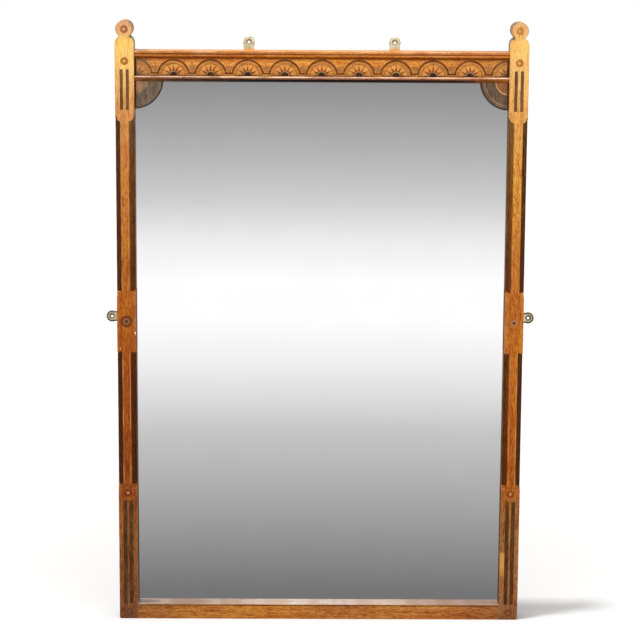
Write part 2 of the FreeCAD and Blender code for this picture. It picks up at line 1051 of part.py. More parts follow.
def glazing_blocks():
    """Small blocks that hold the glass forward, glued to the rebate walls."""
    half = block_length / 2
    back = -board_thickness
    blocks = []
    ends = (sight_bottom + block_end_gap + half, sight_top - block_end_gap - half)
    for z in evenly(ends[0], ends[1], side_block_count):
        left = box(-glass_wall, -glass_wall + block_width, glass_back, back, z - half, z + half)
        blocks = blocks + [left, mirrored(left)]
    reach = sight_edge - block_end_gap - half
    for x in evenly(-reach, reach, rail_block_count):
        high = glass_wall_top
        low = glass_wall_bottom
        blocks.append(box(x - half, x + half, glass_back, back, high - block_width, high))
        blocks.append(box(x - half, x + half, glass_back, back, low, low + block_width))
    return blocks


def board_edges():
    """Left and right edge of each upright back board."""
    wall = board_wall - board_gap
    width = (2 * wall - (board_count - 1) * board_gap) / board_count
    starts = [-wall + step * (width + board_gap) for step in range(board_count)]
    return [(start, start + width) for start in starts]


def back_board(low, high):
    bottom = board_wall_bottom + board_gap
    board = box(low, high, -board_thickness, 0, bottom, board_wall_top - board_gap)
    holes = []
    for x, z in board_screw_places():
        if low < x < high:
            holes.append(screw_hole(x, z, board_screw_length))
    return board.cut(holes)


# Every piece, saved under its own name

post = left_post()
save("left_post", [post])
save("right_post", [mirrored(post)])
save("top_rail", [top_rail()])
save("bottom_rail", [bottom_rail()])
save("cornice_moulding", [cornice()])
save("frieze_bead", [frieze_bead()])
save("sight_slip", [sight_slip()])

for side in ("left", "right"):
    turn = mirrored if side == "right" else (lambda shape: shape)
    save(side + "_ring_inlays", [turn(piece) for piece in ring_inlays()])
    save(side + "_ring_eyes", [turn(piece) for piece in ring_eyes()])
    save(side + "_middle_band", [turn(middle_band())])
    save(side + "_middle_dot", [turn(middle_dot())])
    save(side + "_upper_bars", [turn(bar) for bar in upper_bars(inlay_start(), inlay_back)])
    save(side + "_lower_bars", [turn(bar) for bar in lower_bars(inlay_start(), inlay_back)])
    save(side + "_bracket", [turn(left_bracket())])

frieze_start = frieze_face - inlay_proud
frieze_back = frieze_face + inlay_depth
save("frieze_arch_lines", frieze_layer(arch_lines))
save("frieze_arch_bands", frieze_layer(arch_bands))
save("frieze_fan_grounds", frieze_layer(fan_grounds))
save("frieze_petals", frieze_layer(fan_petals))
save("frieze_hub_rims", frieze_layer(hub_rims))
save("frieze_hubs", frieze_layer(hubs))
save("frieze_ties", [tie(x, frieze_start, frieze_back) for x in tie_places()])
save("frieze_spray_dots", [spray_dot(x, frieze_start, frieze_back) for x in tie_places()])
save("frieze_sprays", [leaf for x in tie_places() for leaf in spray(x, frieze_start, frieze_back)])

bracket_start = bracket_face - inlay_proud
bracket_inlay_back = bracket_face + inlay_depth
for name, radii in bracket_layers().items():
    piece = bracket_piece(radii[0], radii[1], bracket_start, bracket_inlay_back)
    save("bracket_" + name, [piece, mirrored(piece)])
leaves = bracket_petals(bracket_start, bracket_inlay_back)
save("bracket_petals", leaves + [mirrored(leaf) for leaf in leaves])
strips = [end_strip(frieze_start, frieze_back), bracket_strip(bracket_start, bracket_inlay_back)]
save("end_strips", strips + [mirrored(strip) for strip in strips])

save("mirror_glass", [mirror_glass()])
save("glazing_blocks", glazing_blocks())
for number, edges in enumerate(board_edges(), 1):
    save("back_board_" + str(number), [back_board(edges[0], edges[1])])
save("back_board_screws", [screw(x, z, board_screw_length) for x, z in board_screw_places()])
save("joint_pegs", joint_pegs())

top_plate = plate(top_plate_blank(0), top_eye(), top_plate_screws())
side_plate = plate(side_plate_blank(0), side_eye(), side_plate_screws())
save("top_plate_left", [top_plate])
save("top_plate_right", [mirrored(top_plate)])
save("side_plate_left", [side_plate])
save("side_plate_right", [mirrored(side_plate)])
save("plate_screws", plate_screws())
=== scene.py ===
import math

import bmesh
import bpy
import numpy as np
from mathutils import Matrix


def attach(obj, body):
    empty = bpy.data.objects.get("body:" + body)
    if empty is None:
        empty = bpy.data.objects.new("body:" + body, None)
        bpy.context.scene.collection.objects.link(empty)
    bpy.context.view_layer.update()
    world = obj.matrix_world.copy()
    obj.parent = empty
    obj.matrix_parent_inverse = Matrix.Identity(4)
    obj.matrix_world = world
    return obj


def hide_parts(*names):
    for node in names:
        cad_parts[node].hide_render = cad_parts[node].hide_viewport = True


# The visual model of a wall mirror in an inlaid oak frame. Lengths are in
# millimetres, and make_piece turns them into metres. +Z is up, the front faces -Y,
# and the back of the frame lies in the plane y = 0.

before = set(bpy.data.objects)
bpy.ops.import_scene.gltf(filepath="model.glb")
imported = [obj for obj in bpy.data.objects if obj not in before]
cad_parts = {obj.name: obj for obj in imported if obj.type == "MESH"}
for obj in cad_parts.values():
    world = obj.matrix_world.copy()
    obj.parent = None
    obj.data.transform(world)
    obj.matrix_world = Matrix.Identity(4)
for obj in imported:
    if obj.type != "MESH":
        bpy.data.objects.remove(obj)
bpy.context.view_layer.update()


# Posts. Each is one length of quarter-sawn oak, 38.5 by 46, with a disc cut on its
# head and two stopped chamfers on each front arris. They are waxed, golden at the
# head and brown at the foot, a brightening towards the head that is partly painted
# light from above, and the chamfers are stained nearly black.

front = -46.0
back = -0.35
post_edge = 415.0
post_width = 38.5
post_middle = post_edge - post_width / 2
foot = -621.0
foot_round = 3.5
shoulder_level = 571.7
neck_level = 587.7
neck_half = 11.0
disc_level = 603.7
disc_radius = 17.3
disc_join = -46.0
head = disc_level + disc_radius
arris = 0.9
outer_chamfer = 8.5
inner_chamfer = 10.0
low_stop = (-342.0, -332.0)
block = (-53.0, 60.0)
block_stop_top = 73.0
high_stop = (419.0, 431.0)
rail_top = 561.0
sill_row = -590.0
glass_foot = -597.5
glass_top = 507.0
glass_depth = 20.0
glass_step = 8.0
board_foot = -604.5
board_top = 514.0
board_depth = 38.0
board_step = 15.0
row_gap = 6.0
hair = 0.01


def linear(colour):
    """An sRGB hex colour as linear red, green, blue and alpha."""
    shares = np.array([int(colour[i : i + 2], 16) for i in (1, 3, 5)]) / 255
    light = np.where(shares <= 0.04045, shares / 12.92, ((shares + 0.055) / 1.055) ** 2.4)
    return (*light, 1.0)


def add_node(tree, kind, feeds=None, stops=None, out=0, **settings):
    """One output of a new node, or the node itself where out is None.

    Feeds gives each socket a value, a colour or another node's output, and stops are
    the places and colours of a ramp.
    """
    node = tree.nodes.new("ShaderNode" + kind)
    for setting, value in settings.items():
        setattr(node, setting, value)
    for socket, value in (feeds or {}).items():
        if isinstance(value, bpy.types.NodeSocket):
            tree.links.new(value, node.inputs[socket])
        else:
            node.inputs[socket].default_value = linear(value) if isinstance(value, str) else value
    for number, (place, colour) in enumerate(stops or []):
        points = node.color_ramp.elements
        point = points[number] if number < 2 else points.new(place)
        point.position = place
        point.color = linear(colour)
    return node if out is None else node.outputs[out]


# One colour is laid over another either as a cover or as a tint that multiplies it.
cover = {"out": 2, "data_type": "RGBA"}
tint = cover | {"blend_type": "MULTIPLY"}


def new_material(name):
    """A new material, its node tree, and the place of each point on the object."""
    material = bpy.data.materials.new(name)
    material.use_nodes = True
    tree = material.node_tree
    tree.nodes.clear()
    return material, tree, add_node(tree, "TexCoord", out="Object")


def finished(material, feeds, height=None, strength=0.0, depth=0.0):
    """The material with its shader, on whose sockets the feeds are set.

    Height is a pattern that stands up by depth, in metres, as a bump of that strength.
    """
    tree = material.node_tree
    if height:
        bump = {"Height": height, "Strength": strength, "Distance": depth}
        feeds = feeds | {"Normal": add_node(tree, "Bump", bump)}
    add_node(tree, "OutputMaterial", {0: add_node(tree, "BsdfPrincipled", feeds)}, out=None)
    return material


def carried(sections, ends=False):
    """Points and faces of closed sections, carried one after another.

    The sections have the shape (copies, rows, points, 3). Point j of row i is joined
    to point j + 1 of its row and to the same two points of row i + 1, and the last
    point of a row to its first.
    """
    copies, rows, count, _ = sections.shape
    row, point = np.meshgrid(np.arange(rows - 1), np.arange(count), indexing="ij")
    after = (point + 1) % count
    corners = [row * count + point, row * count + after]
    corners += [(row + 1) * count + after, (row + 1) * count + point]
    quads = np.stack(corners, axis=-1).reshape(-1, 4)
    starts = np.arange(copies)[:, None, None] * rows * count
    faces = (quads[None] + starts).reshape(-1, 4).tolist()
    if ends:
        starts = np.arange(copies)[:, None] * rows * count
        faces += (starts + np.arange(count)[::-1]).tolist()
        faces += (starts + (rows - 1) * count + np.arange(count)).tolist()
    return sections.reshape(-1, 3), faces


def make_piece(name, shape, material, slot, *nodes, **marks):
    """A finished piece: points in mm, closed up where they meet, facing outwards.

    Marks are one number for each point, such as how much real stain and wear, painted shade and painted
    highlight it shows there.
    """
    points, faces = shape
    mesh = bpy.data.meshes.new(name)
    mesh.from_pydata((points / 1000).tolist(), [], faces)
    for mark, values in marks.items():
        layer = mesh.attributes.new(mark, "FLOAT", "POINT")
        layer.data.foreach_set("value", np.asarray(values, np.float32).ravel())
    shell = bmesh.new()
    shell.from_mesh(mesh)
    bmesh.ops.remove_doubles(shell, verts=shell.verts, dist=2e-6)
    bmesh.ops.dissolve_degenerate(shell, dist=1e-6, edges=shell.edges)
    bmesh.ops.recalc_face_normals(shell, faces=shell.faces)
    shell.to_mesh(mesh)
    shell.free()
    mesh.shade_smooth()
    mesh.set_sharp_from_angle(angle=math.radians(38))
    mesh.materials.append(material)
    piece = bpy.data.objects.new(name, mesh)
    bpy.context.scene.collection.objects.link(piece)
    shading = piece.modifiers.new("even_faces", "WEIGHTED_NORMAL")
    shading.keep_sharp = True
    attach(piece, "root")
    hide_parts(*nodes)


def along(nodes, distance):
    """The points at a distance along lines of a few straight runs, one line a row."""
    left = distance.copy()
    place = nodes[:, 0].copy()
    for step in range(nodes.shape[1] - 1):
        run = nodes[:, step + 1] - nodes[:, step]
        length = np.linalg.norm(run, axis=1)
        part = np.clip(left, 0, length)
        place += run * (part / np.maximum(length, 1e-9))[:, None]
        left = left - part
    return place


def softened(before, corner, after, shares):
    """A corner as the curve (1-s)^2 before + 2 s (1-s) corner + s^2 after."""
    s = np.array(shares)[None, :, None]
    before, corner, after = before[:, None], corner[:, None], after[:, None]
    return (1 - s) ** 2 * before + 2 * s * (1 - s) * corner + s**2 * after


def post_side(size, limit, depth, glass, board):
    """One side of the post's section, from its back to its face, a line for each row.

    Points are (inset from the edge, depth behind the face). The chamfer is the plane
    inset + depth = size. Limit is how far in it reaches, and depth how deep it goes.
    Points 0 to 4 are the rebate, 5 to 8 the low arris, 9 and 10 the ends of the
    chamfer, and 11 to 15 the high arris.
    """
    none = np.zeros(len(limit))
    full = none + (back - front)
    flat = np.where(limit >= size, size - depth, 0.0)

    def lines(*points):
        return np.stack([np.stack(point, axis=1) for point in points], axis=1)

    nodes = lines((none, depth), (flat, depth), (limit, size - limit), (limit, none))
    runs = np.linalg.norm(np.diff(nodes, axis=1), axis=2)
    start = nodes[:, 0] + [0, arris]
    low_reach = np.minimum(arris, 0.45 * (runs[:, 0] + runs[:, 1]))
    low_end = along(nodes[:, :3], low_reach)
    high_reach = np.minimum(arris, 0.45 * runs.sum(axis=1))
    high_start = along(nodes[:, ::-1], high_reach)
    high_end = nodes[:, 3] + np.stack([high_reach, none], axis=1)
    valley = np.where((flat < low_reach)[:, None], low_end, nodes[:, 1])
    beyond = runs[:, 1] + runs[:, 2] < high_reach
    valley = np.where(beyond[:, None], high_start, valley)
    corner = np.where((size - limit < high_reach)[:, None], high_start, nodes[:, 2])
    low_arris = softened(start, nodes[:, 0], low_end, [0, 0.35, 0.65, 1])
    high_arris = softened(high_start, nodes[:, 3], high_end, [0, 0.25, 0.5, 0.75, 1])
    wall = glass * glass_step
    edge = np.maximum(board * board_step, wall)
    at_back = np.where(board < 0, arris, board_step)
    lift = np.where(board < 0, full - arris, np.where(board > 0, board_depth, full))
    wall = np.maximum(wall, 0)
    rebate = lines((at_back, full), (np.maximum(edge, 0), lift), (wall, none + board_depth),
                   (wall, none + glass_depth), (none, none + glass_depth))
    return np.concatenate([rebate, low_arris, valley[:, None], corner[:, None], high_arris], axis=1)


def post_rows():
    """The rows of a post from foot to head: a level, then two shares of each chamfer.

    The shares are how far the outer and the inner chamfer reach in and how deep they
    go. A step of a rebate or of the stain has two rows, a hair apart.
    """
    rows = []
    flat, cut, square = (1, 0), (1, 1), (0, 1)

    def add(levels, outer, inner=None):
        rows.extend((level, *outer, *(inner or outer)) for level in levels)

    def scooped(share):
        return 1 - math.sqrt(max(0.0, 1 - share * share)), 1

    quarter = np.linspace(0, math.pi / 2, 12)[1:]
    add(foot + foot_round * (1 - np.cos(np.linspace(0, math.pi / 2, 5))), flat)
    add([board_foot, board_foot + hair, glass_foot, glass_foot + hair], flat)
    add(np.linspace(sill_row, low_stop[0], 46), flat)
    for share in np.linspace(0, 1, 8)[1:]:
        add([low_stop[0] + (low_stop[1] - low_stop[0]) * share], (1, share))
    add([low_stop[1] + hair], cut)
    add(np.linspace(low_stop[1] + row_gap, block[0], 48), cut)
    add(np.linspace(*block, 22), square)
    for share in np.sin(quarter):
        add([block[1] + (block_stop_top - block[1]) * share], scooped(share), square)
    add([block_stop_top], cut)
    add(np.linspace(block_stop_top + row_gap, high_stop[0], 60), cut)
    for share in np.sin(np.linspace(math.pi / 2, 0, 14))[1:]:
        add([high_stop[1] - (high_stop[1] - high_stop[0]) * share], scooped(share))
    add(np.linspace(high_stop[1] + row_gap, glass_top, 14), square)
    add([glass_top + hair, board_top, board_top + hair], square)
    add(np.linspace(board_top + row_gap, shoulder_level - 2, 10), square)
    return np.array(rows)


def post_mesh():
    """The left post, and how much stain, wear, painted shade and painted highlight it has at each point.

    Its edge runs up from the foot, over a shoulder to the neck, and round the disc,
    and each row of the section is set in from it squarely.
    """
    rows = post_rows()
    level = rows[:, 0]
    lift = np.clip((level - foot) / foot_round, 0, 1)
    foot_inset = foot_round * (1 - np.sqrt(np.clip(1 - (1 - lift) ** 2, 0, 1)))
    step = post_width / 2 - neck_half
    rise = neck_level - shoulder_level
    turn = np.linspace(0, math.pi / 2, 12)
    c, s = np.cos(turn), np.sin(turn)
    shoulder = [neck_half + step * c, shoulder_level + rise * s, rise * c, step * s]
    swing = np.radians(np.concatenate([np.linspace(disc_join, 70, 26), np.linspace(74, 90, 7)]))
    c, s = np.cos(swing), np.sin(swing)
    disc = [disc_radius * c, disc_level + disc_radius * s, c, s]
    head_x, head_z, *head_n = np.concatenate([shoulder, disc], axis=1)
    head_n = np.stack(head_n, axis=1)
    head_n = head_n / np.linalg.norm(head_n, axis=1)[:, None]
    z = np.concatenate([level, head_z])
    normal = np.concatenate([np.tile([1.0, 0.0], (len(level), 1)), head_n])
    cheek, low_arris, high_arris = slice(2, 8), slice(6, 8), slice(12, 15)
    chamfer, plane = slice(8, 16), slice(8, 12)
    sides = []
    for column, size, inset in ((1, outer_chamfer, foot_inset), (3, inner_chamfer, 0 * level)):
        inner = column == 3
        reach = np.concatenate([rows[:, column], 0 * head_z])
        deep = np.concatenate([rows[:, column + 1], 0 * head_z + 1])
        size = np.where(z > high_stop[1], inner_chamfer, size)
        glass = ((z > glass_foot + hair / 2) & (z < glass_top + hair / 2)) * 1.0 * inner
        board = ((z > board_foot + hair / 2) & (z < board_top + hair / 2)) * 1.0 * inner
        clear = (z < board_foot - hair) | (z > board_top + 2 * hair)
        board = np.where(clear | (not inner), -1.0, board)
        section = post_side(size, reach * size, deep * size, glass, board)
        half = np.concatenate([post_width / 2 - inset, head_x])
        x = half[:, None] - normal[:, None, 0] * section[..., 0]
        height = z[:, None] - normal[:, None, 1] * section[..., 0]
        block_stop = (z >= block[1]) & (z < block_stop_top)
        cut = (reach > 0) & (deep > 0) & (z > low_stop[1]) & ~block_stop
        # The inner cheeks and the inner side of the head are darkened as painted shade, and
        # the notch at the neck is darkened too. The stain of the inner chamfers is made thinner
        # towards the face and the head, as painted light thrown on them from the glass.
        wall = np.where(cut, 0.85, 0.4) * inner * np.clip(1.6 * normal[:, 0], 0, 1)
        notch = inner * np.clip(2 - np.abs(z - neck_level - 2) / 3, 0, 1)
        coat = np.array([1, 1, 0.92, 0.9, 0.85, 0.8, 0.75, 0.7] if inner else [1.0] * 8)
        thin = np.interp(z, [-330, 0, 430], [0.97, 0.92, 0.87]) if inner else 1 + 0 * z
        coat = np.where(z > neck_level, 0.9 if inner else 0.35, cut)[:, None] * coat
        stained = np.zeros(section.shape[:2])
        stained[:, cheek] = (np.where(z > rail_top, 2.2, 1) * wall)[:, None]
        stained[:, chamfer] = coat * thin[:, None]
        stained[:, 2:] = np.maximum(stained[:, 2:], 0.85 * notch[:, None])
        flat = reach * (1 - deep) > 0
        worn = np.zeros(section.shape[:2])
        worn[:, low_arris] = 1.0
        worn[:, high_arris] = (~cut & ~flat)[:, None]
        # The stop above the middle block faces up, and is painted pale there as a highlight.
        worn[:, plane] = block_stop[:, None]
        sides.append((x, section[..., 1] + front, height, stained, worn, cut * 1.0, ~flat * 0.5))
    outer, inner = sides
    across = np.array([0.05, 0.11, 0.2, 0.5, 0.8, 0.89, 0.95])
    left = np.stack([-outer[0], outer[1], outer[2]], axis=-1)
    right = np.stack(inner[:3], axis=-1)
    face = left[:, -1:] * (1 - across)[None, :, None] + right[:, -1:] * across[None, :, None]
    section = np.concatenate([left, face, right[:, ::-1]], axis=1)
    section[..., 0] -= post_middle
    # On the face, stain has lapped over the arrises, and hands have rubbed beside them.
    lapped, rubbed = np.zeros((2, *face.shape[:2]))
    lapped[:, 0], lapped[:, -1] = 0.4 * outer[5], np.maximum(0.3 * inner[5], 0.4 * notch)
    rubbed[:, 0], rubbed[:, -1] = outer[6], inner[6]
    rubbed[:, 1], rubbed[:, -2] = outer[5], inner[5]
    stained, worn = (np.concatenate([outer[i], between, inner[i][:, ::-1]], axis=1)
                     for i, between in ((3, lapped), (4, rubbed)))
    points, faces = carried(section[None])
    faces.append(list(range(section.shape[1])))
    return points, faces, stained, worn


def oak(name, grain, reach, stops, stain="#331503", wear="#D2934E", speck=0.9, gloss=0.4,
        shine=0.16, rubs=(0.1, 0.65), chips=(), bleached=1.0):
    """Quarter-sawn oak, fumed and waxed by hand.

    Grain is the axis that the fibres run along, and the stops colour the wood from one
    end of reach to the other along the same axis. Growth bands are about 9 mm wide, and
    the flakes that quarter sawing shows are 2 by 7. The pores are really 0.3 mm wide,
    and are drawn 1.7 mm wide here so that they show. The dark colour covers what is
    marked dark, which is real stain in places and painted shade in others, the pale
    colour shows what is marked pale, which is real wear in places and painted highlights
    in others, and each chip is a place, a radius and a tone.
    Bleached is the share of its figure that light has left at the far end of reach.
    """
    material, tree, place = new_material(name)

    def streaks(size, length, **feeds):
        scale = tuple(1000 / (length if axis == grain else size) for axis in range(3))
        fibres = add_node(tree, "Mapping", {"Vector": place, "Scale": scale})
        return add_node(tree, "TexNoise", {"Vector": fibres, "Scale": 1.0} | feeds)

    band = streaks(9, 200, Detail=4.0, Distortion=0.8)
    pore = streaks(1.7, 38, Detail=2.0, Roughness=0.6)
    mottle = streaks(3.2, 22, Detail=3.0, Roughness=0.65)
    flake = streaks(1.8, 7, Detail=2.0, Roughness=0.7)
    cloud = streaks(38, 38, Detail=3.0)
    share = add_node(tree, "SeparateXYZ", {0: place}, out=grain)
    share = add_node(tree, "MapRange", {0: share, 1: reach[0] / 1000, 2: reach[1] / 1000})
    colour = add_node(tree, "ValToRGB", {0: share}, stops)
    figure = add_node(tree, "MapRange", {0: share, 1: 0.7, 2: 0.95, 3: 1.0, 4: bleached})
    layers = [
        (band, 0.8, [(0.34, "#E2B88C"), (0.55, "#FFFFFF")]),
        (mottle, speck, [(0.36, "#D8A468"), (0.5, "#FFFFFF"), (0.66, "#FFFFE0")]),
        (flake, speck, [(0.38, "#D0A070"), (0.5, "#FFFFFF"), (0.62, "#FFFFE8")]),
    ]
    for pattern, amount, tones in layers:
        tone = add_node(tree, "ValToRGB", {0: pattern}, tones)
        amount = add_node(tree, "Math", {0: figure, 1: amount}, operation="MULTIPLY")
        colour = add_node(tree, "Mix", {0: amount, 6: colour, 7: tone}, **tint)
    lines = add_node(tree, "MapRange", {0: pore, 1: 0.57, 2: 0.70, 3: 0.0, 4: 0.4})
    colour = add_node(tree, "Mix", {0: lines, 6: colour, 7: "#94602C"}, **tint)
    # This mark is real stain on the chamfers, and painted shade in hollows, in grooves and on shaded faces.
    stained = add_node(tree, "Attribute", out="Fac", attribute_name="stained")
    uneven = add_node(tree, "MapRange", {0: mottle, 1: 0.3, 2: 0.75, 3: 1.0, 4: 0.82})
    dark = add_node(tree, "Math", {0: stained, 1: uneven}, operation="MULTIPLY")
    colour = add_node(tree, "Mix", {0: dark, 6: colour, 7: stain}, **cover)
    # This mark is real wear on the posts' arrises, and painted highlights on lit edges and tops.
    worn = add_node(tree, "Attribute", out="Fac", attribute_name="worn")
    patchy = add_node(tree, "MapRange", {0: cloud, 1: 0.42, 2: 0.62, 3: rubs[0], 4: rubs[1]})
    rubbed = add_node(tree, "Math", {0: worn, 1: patchy}, operation="MULTIPLY")
    colour = add_node(tree, "Mix", {0: rubbed, 6: colour, 7: wear}, **cover)
    for middle, radius, tone in chips:
        middle = tuple(length / 1000 for length in middle)
        away = add_node(tree, "VectorMath", {0: place, 1: middle}, out="Value", operation="DISTANCE")
        fresh = {0: away, 1: radius / 2000, 2: radius / 1000, 3: 0.9, 4: 0.0}
        fresh = add_node(tree, "MapRange", fresh)
        colour = add_node(tree, "Mix", {0: fresh, 6: colour, 7: tone}, **cover)
    rough = add_node(tree, "MapRange", {0: band, 1: 0.3, 2: 0.7, 3: gloss + 0.1, 4: gloss - 0.06})
    sheen = add_node(tree, "MapRange", {0: stained, 3: shine, 4: 0.08})
    feeds = {"Base Color": colour, "Roughness": rough, "IOR": 1.5, "Specular IOR Level": sheen}
    height = add_node(tree, "Math", {0: lines, 1: -0.7, 2: band}, operation="MULTIPLY_ADD")
    return finished(material, feeds, height, 0.5, 0.0003)


# Colours from the foot to the head of each post. They brighten towards the head partly as painted light from
# above.
left_patina = [
    (0.0, "#704C34"), (0.025, "#845630"), (0.05, "#82522A"), (0.14, "#96602C"), (0.24, "#955104"),
    (0.37, "#9E5104"), (0.5, "#B0650C"), (0.61, "#B87124"), (0.74, "#CE8840"),
    (0.86, "#D89C5E"), (0.93, "#FCCE7C"), (0.968, "#FAD070"), (0.982, "#E6B27C"), (1.0, "#E2B080"),
]
right_patina = [
    (0.0, "#845A38"), (0.05, "#A46E44"), (0.14, "#A87840"), (0.24, "#AC5D04"),
    (0.37, "#BC7014"), (0.5, "#C27820"), (0.61, "#C57C30"), (0.74, "#E2A442"),
    (0.86, "#EAB264"), (0.93, "#F5CA7A"), (0.968, "#FCCC70"), (0.982, "#EEBA7C"), (1.0, "#E8B67C"),
]
# The left post has been knocked in four places, and a length is mended at the right.
knocks = [((-378, front, -13.5), 2.4, "#F8E0B8"), ((-377, front, -18), 1.6, "#E8B880"),
          ((-408.5, front, -47), 2.2, "#D89C48"), ((-377, front, -508), 1.6, "#C08850")]
mend = [((381, front, level), 10, "#C48840") for level in (-483, -492, -501, -510)]
mend += [((381, front, -520), 10, "#B27A34")]
points, faces, stained, worn = post_mesh()
for side, sign, patina, chips in (("left", 1, left_patina, knocks), ("right", -1, right_patina, mend)):
    wood = oak(side + "_post_oak", 2, (foot, head), patina, chips=chips, bleached=0.35)
    make_piece(side + "_post_wood", (points * [sign, 1, 1], faces), wood, "oak_post",
               side + "_post", stained=stained, worn=worn)


# Top rail. A plain oak board between the posts, 62 high and 32 thick, with its ends
# tenoned into them. Its front is the orange ground of the frieze, and two steps are
# cut along its back for the glass and the boards.

rail_front = -32.0
rail_foot = 499.0
cornice_foot = 545.0
glass_plane = front + glass_depth
board_plane = front + board_depth
inner_edge = post_edge - post_width


def bow(middle, radius, start, stop, count=9):
    """Points middle + radius (cos t, sin t) for t from start to stop, in degrees."""
    turn = np.radians(np.linspace(start, stop, count))
    return list(zip(middle[0] + radius * np.cos(turn), middle[1] + radius * np.sin(turn)))


def lengthwise(profile, worn=()):
    """A moulding between the posts: its (y, z) profile carried along X, and its marks.

    The profile's points whose numbers are listed are painted pale there as highlights.
    """
    x = np.linspace(-inner_edge, inner_edge, 41)
    sections = np.empty((1, len(x), len(profile), 3))
    sections[..., 0] = x[None, :, None]
    sections[..., 1:] = np.array(profile)
    rubbed = np.zeros(sections.shape[:3])
    rubbed[..., list(worn)] = 1
    return carried(sections, ends=True), {"worn": rubbed, "stained": 0 * rubbed}


def rail_oak(name, stops, **looks):
    """Oak with its grain along X, coloured from the left post to the right one."""
    return oak(name, 0, (-inner_edge, inner_edge), stops, **looks)


profile = [(rail_front, level) for level in (rail_foot, 541.5, 543.5, cornice_foot, rail_top - 0.5)]
profile += [(rail_front + 0.5, rail_top)]
profile += bow((back - 1, rail_top - 1), 1, 90, 0, 4)
profile += [(back, board_top), (board_plane, board_top), (board_plane, glass_top)]
profile += [(glass_plane, glass_top), (glass_plane, rail_foot)]
shape, marks = lengthwise(profile)
# The rail's face just under the cornice is darkened as painted shade.
marks["stained"][..., 2], marks["stained"][..., 3] = 0.45, 0.9
frieze_tone = [
    (0.0, "#86705A"), (0.02, "#98805C"), (0.05, "#F0AC5C"), (0.3, "#FCB050"),
    (0.6, "#FCAC48"), (0.85, "#ECA048"), (1.0, "#DC984C"),
]
make_piece("top_rail_wood", shape, rail_oak("frieze_oak", frieze_tone, speck=0.75), "oak_rail",
           "top_rail", **marks)


# Cornice and the nosing under the frieze. Both are run oak mouldings, glued to the
# front of the rail. The cornice has a flat fillet, a bead and a hollow. Their upper
# edges are painted pale as highlights, and the grooves, the hollow and the nosing's
# top and foot are painted dark as shade.

fillet_round = 2.0
fillet_foot = 556.2
fillet_arris = 0.4
quirk_front = -43.4
bead_top = 554.0
bead_foot = 549.2
bead_bulge = 2.4
hollow_top = -41.0
hollow_end = -34.6
nosing_front = -44.5
nosing_radius = 3.2
nosing_top = 511.0
nosing_foot = nosing_top - 2 * nosing_radius

profile = [(rail_front, rail_top)]
profile += bow((front + fillet_round, rail_top - fillet_round), fillet_round, 90, 180, 7)
profile += bow((front + fillet_arris, fillet_foot + fillet_arris), fillet_arris, 180, 270, 4)
profile += [(quirk_front, fillet_foot), (quirk_front, bead_top)]
bead = np.linspace(0, math.pi, 13)[1:-1]
profile += list(zip(quirk_front - bead_bulge * np.sin(bead),
                    (bead_top + bead_foot) / 2 + (bead_top - bead_foot) / 2 * np.cos(bead)))
profile += [(quirk_front, bead_foot), (hollow_top, bead_foot)]
cove = np.linspace(0, math.pi / 2, 11)
profile += list(zip(hollow_top + (hollow_end - hollow_top) * np.sin(cove),
                    cornice_foot + (bead_foot - cornice_foot) * np.cos(cove)))
profile += [(rail_front, cornice_foot)]
# Points 1 to 7 are the fillet's round edge, 8 to 12 its foot and the quirk, 13 to 25
# the bead, and 26 to 37 the hollow.
# The fillet's round edge and the top of the bead are painted pale as highlights, and the grooves and the
# hollow are darkened as painted shade.
shape, marks = lengthwise(profile, worn=(1, 2, 3))
marks["worn"][..., 4] = 0.8
marks["worn"][..., 5:9] = 0.3
marks["worn"][..., 16:19] = 0.4
marks["stained"][..., [10, 11, 12, 24, 25]] = 0.5
marks["stained"][..., 26:37] = 0.95
cornice_tone = [
    (0.0, "#BC7420"), (0.2, "#C47A22"), (0.5, "#D08424"), (0.8, "#CE8022"), (1.0, "#CA7E28"),
]
# Its dark colour is the painted shade of the grooves and the hollow, and its pale colour the painted
# highlight.
wood = rail_oak("cornice_oak", cornice_tone, stain="#762E00", wear="#F8D8A8", shine=0.1,
                rubs=(0.25, 0.85))
make_piece("cornice_wood", shape, wood, "oak_moulding", "cornice_moulding", **marks)

profile = [(rail_front, nosing_top)]
profile += bow((nosing_front + nosing_radius, nosing_top - nosing_radius), nosing_radius, 90, 270, 15)
profile += [(rail_front, nosing_foot)]
# Points 1 to 15 run round the nosing, from its top to its foot.
# The upper front of the nosing is painted pale as a highlight, and its top and lower half are darkened as
# painted shade.
shape, marks = lengthwise(profile, worn=(4, 5, 6, 7))
marks["stained"][..., 0:3] = 0.8
marks["stained"][..., 10:15] = 0.35
# The pinker tone near the middle of the rail is a painted highlight too.
nosing_tone = [
    (0.0, "#A46C42"), (0.3, "#A8744A"), (0.55, "#BC8C74"), (0.75, "#BC7C48"), (1.0, "#C4844C"),
]
wood = rail_oak("nosing_oak", nosing_tone, wear="#F4D2B4", gloss=0.3, shine=0.4, rubs=(0.3, 0.9))
make_piece("nosing_wood", shape, wood, "oak_moulding", "frieze_bead", **marks)


# Sight slip. A thin strip under the nosing, hollowed towards the glass and coloured
# nearly black, turning brown towards its ends.

slip_front = -38.5
slip_foot_front = -35.5


